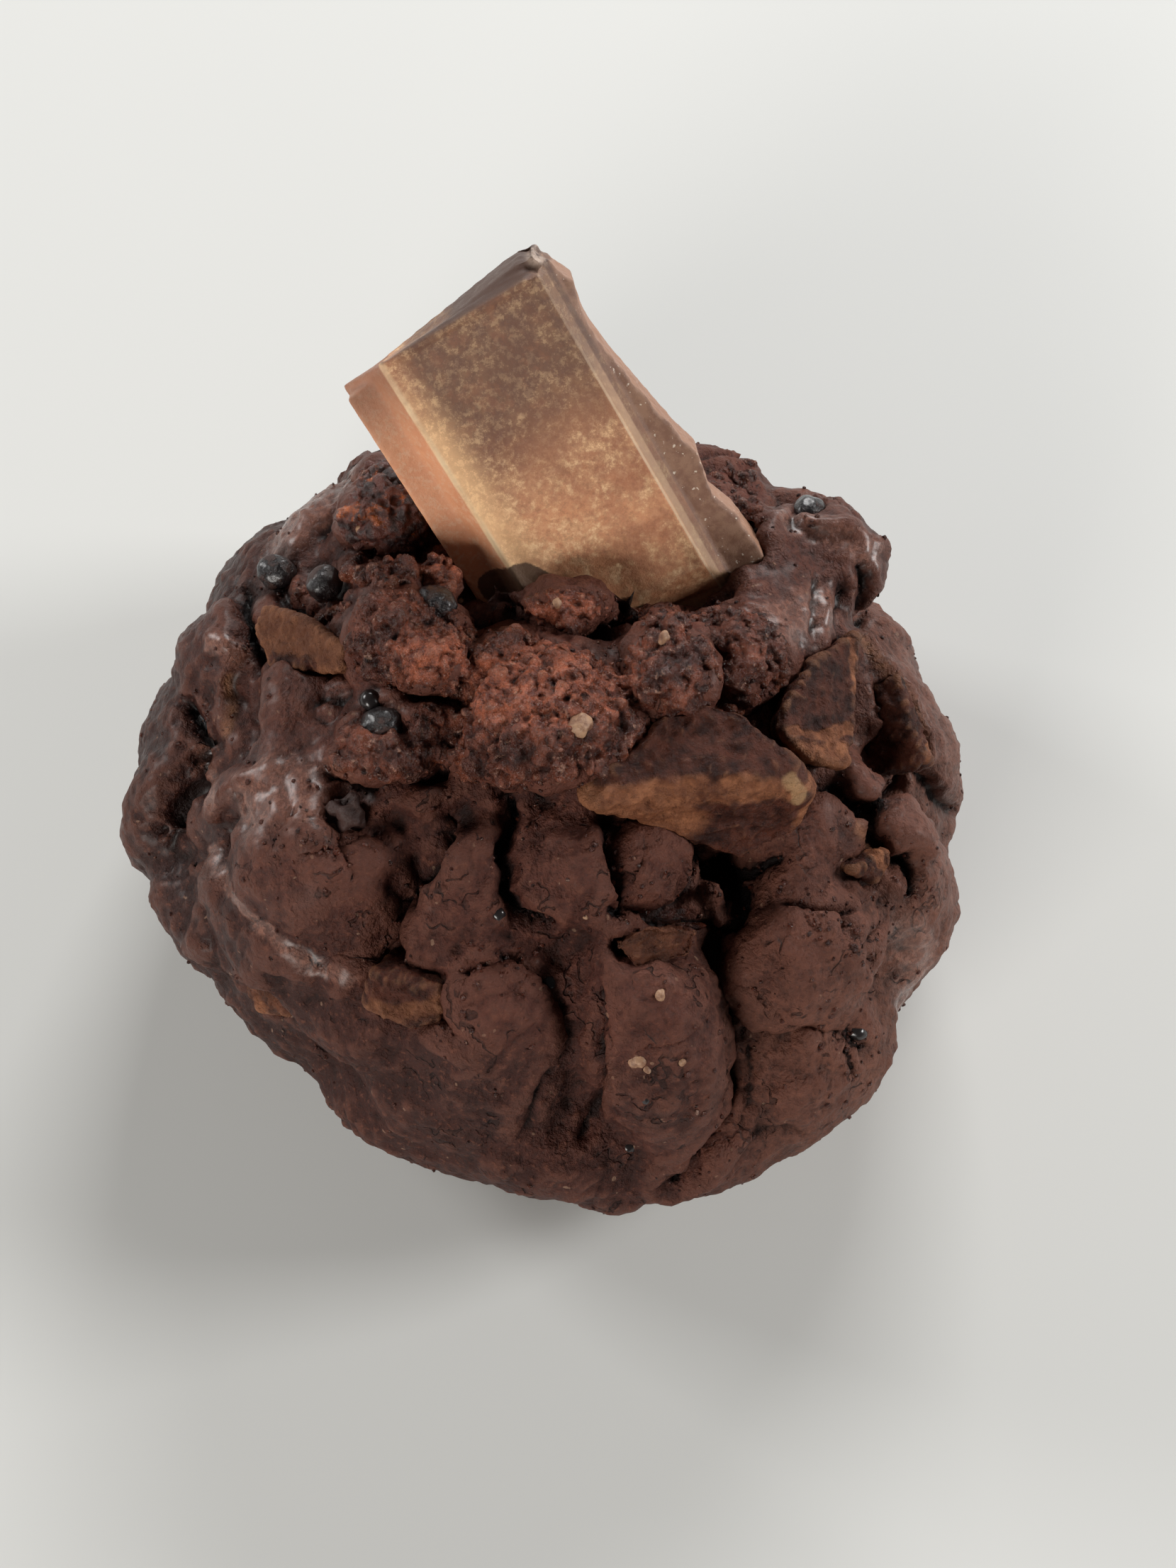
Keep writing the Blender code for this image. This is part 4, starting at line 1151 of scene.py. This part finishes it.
def nearest_seen(pixel, clays):
    """What the camera sees first of several pieces at a pixel: a place and its outward direction, or None."""
    origin = sight(pixel)[0]
    hits = [hit for hit in (clay.seen(pixel) for clay in clays) if hit is not None]
    return min(hits, key=lambda hit: (hit[0] - origin).length, default=None)


def bits_on(clays, name, spots, sink, ragged, seed):
    """One piece of small lumps, sunk into what the camera sees at these pixels."""
    draw = random.Random(seed)
    placements = []
    for pixel, radii in spots:
        hit = nearest_seen(pixel, clays)
        if hit is None:
            continue
        place, out = hit
        if isinstance(radii, tuple):
            side = out.cross(Vector((0.0, 0.0, 1.0))).normalized()
            turn = np.array(Matrix((side, out.cross(side), out)).transposed())
            stretch = np.diag(radii)
            depth = radii[2]
        else:
            turn = random_turn(draw)
            stretch = np.diag([radii * draw.uniform(0.78, 1.2) for _ in range(3)])
            depth = radii
        placements.append((turn @ stretch, np.array(place - out * depth * sink)))
    bits = joined_copies(name, unit_ball(3), placements)
    clay = Clay(bits)
    clay.push(ragged * clay.grain(0.8, seed))
    return bits


def make_bits(dough, crumb):
    """Nuts, dark bits, a small pearl and flakes that show in the dough."""
    glaze = bpy.data.materials["dark_glaze"]
    looks = {
        "nut_bits": ("baked_dough", nut_finish()),
        "dark_bits": ("dark_glaze", glaze),
        "small_pearl": ("dark_glaze", glaze),
        "dough_flakes": ("baked_dough", bpy.data.materials["open_crumb"]),
    }
    for name, (slot, finish) in looks.items():
        finish_piece(bits_on((dough, crumb), name, *BITS[name]), finish)


def make_loose_crumbs(dough):
    """Tiny crumbs that lie along the cracks and all over the skin."""
    draw = random.Random(LOOSE_SEED)
    paths = [pixels for _, _, pixels in CREASES.values()]
    placements = []
    for index in range(LOOSE_CRUMBS):
        if index % 2:
            corner = draw.choice(draw.choice(paths))
            hit = dough.seen([along + draw.gauss(0, LOOSE_SCATTER) for along in corner])
        else:
            spot = draw.randrange(len(dough.points))
            hit = (Vector(dough.points[spot]), Vector(dough.out[spot]))
        if hit is None or hit[0].z < 2.0:
            continue
        radius = draw.uniform(*LOOSE_RADIUS)
        stretch = np.diag([radius * draw.uniform(0.6, 1.3) for _ in range(3)])
        placements.append((random_turn(draw) @ stretch, np.array(hit[0])))
    crumbs = joined_copies("loose_crumbs", unit_ball(1), placements)
    finish_piece(crumbs, bpy.data.materials["open_crumb"])


def add_floor():
    half = FLOOR_HALF * MM
    corners = [(-half, -half, 0), (half, -half, 0), (half, half, 0), (-half, half, 0)]
    mesh = bpy.data.meshes.new("floor")
    mesh.from_pydata(corners, [], [(0, 1, 2, 3)])
    floor = piece_from("floor", mesh)
    floor.data.materials.append(floor_finish())


def add_light(name, place, aim, size, power, colour):
    lamp = bpy.data.lights.new(name, "AREA")
    lamp.shape = "RECTANGLE"
    lamp.size = size[0] * MM
    lamp.size_y = size[1] * MM
    lamp.energy = power
    lamp.color = colour
    made = bpy.data.objects.new(name, lamp)
    bpy.context.scene.collection.objects.link(made)
    made.location = Vector(place) * MM
    made.rotation_euler = (Vector(aim) - Vector(place)).to_track_quat("-Z", "Y").to_euler()


def add_lights():
    """A wide soft window behind and above, paler ones at the sides, and a little light from all round."""
    for name, settings in LIGHTS.items():
        add_light(name, *settings)
    world = bpy.data.worlds.new("room")
    world.use_nodes = True
    sky = world.node_tree.nodes["Background"]
    sky.inputs["Color"].default_value = ROOM_COLOUR
    sky.inputs["Strength"].default_value = ROOM_STRENGTH
    bpy.context.scene.world = world


def add_camera():
    right, up, back = camera_axes()
    lens = bpy.data.cameras.new("photo_camera")
    lens.sensor_width = SENSOR
    lens.lens = CAMERA_FOCAL / PHOTO_HEIGHT * SENSOR
    lens.clip_start = NEAR_CLIP
    made = bpy.data.objects.new("photo_camera", lens)
    bpy.context.scene.collection.objects.link(made)
    made.location = (CAMERA_AIM + back * CAMERA_REACH) * MM
    made.rotation_euler = Matrix((right, up, back)).transposed().to_euler()
    bpy.context.scene.camera = made


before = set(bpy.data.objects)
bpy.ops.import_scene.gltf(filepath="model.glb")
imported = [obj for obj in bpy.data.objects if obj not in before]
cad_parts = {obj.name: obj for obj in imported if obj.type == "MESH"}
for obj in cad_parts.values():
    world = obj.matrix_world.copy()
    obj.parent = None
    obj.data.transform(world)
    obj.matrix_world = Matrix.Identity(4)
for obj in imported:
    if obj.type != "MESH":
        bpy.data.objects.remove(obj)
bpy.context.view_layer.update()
add_camera()
add_floor()
add_lights()
dough_clay = make_dough()
crumb_clay = make_crumb("open_crumb", dough_clay, CRUMB_CLUMPS, crumb_finish())
make_crumb("amber_sugar", dough_clay, AMBER_CLUMPS, amber_finish())
make_bar()
make_chunks()
make_pearls()
make_bits(dough_clay, crumb_clay)
make_loose_crumbs(dough_clay)
bpy.context.scene.view_settings.view_transform = "Standard"
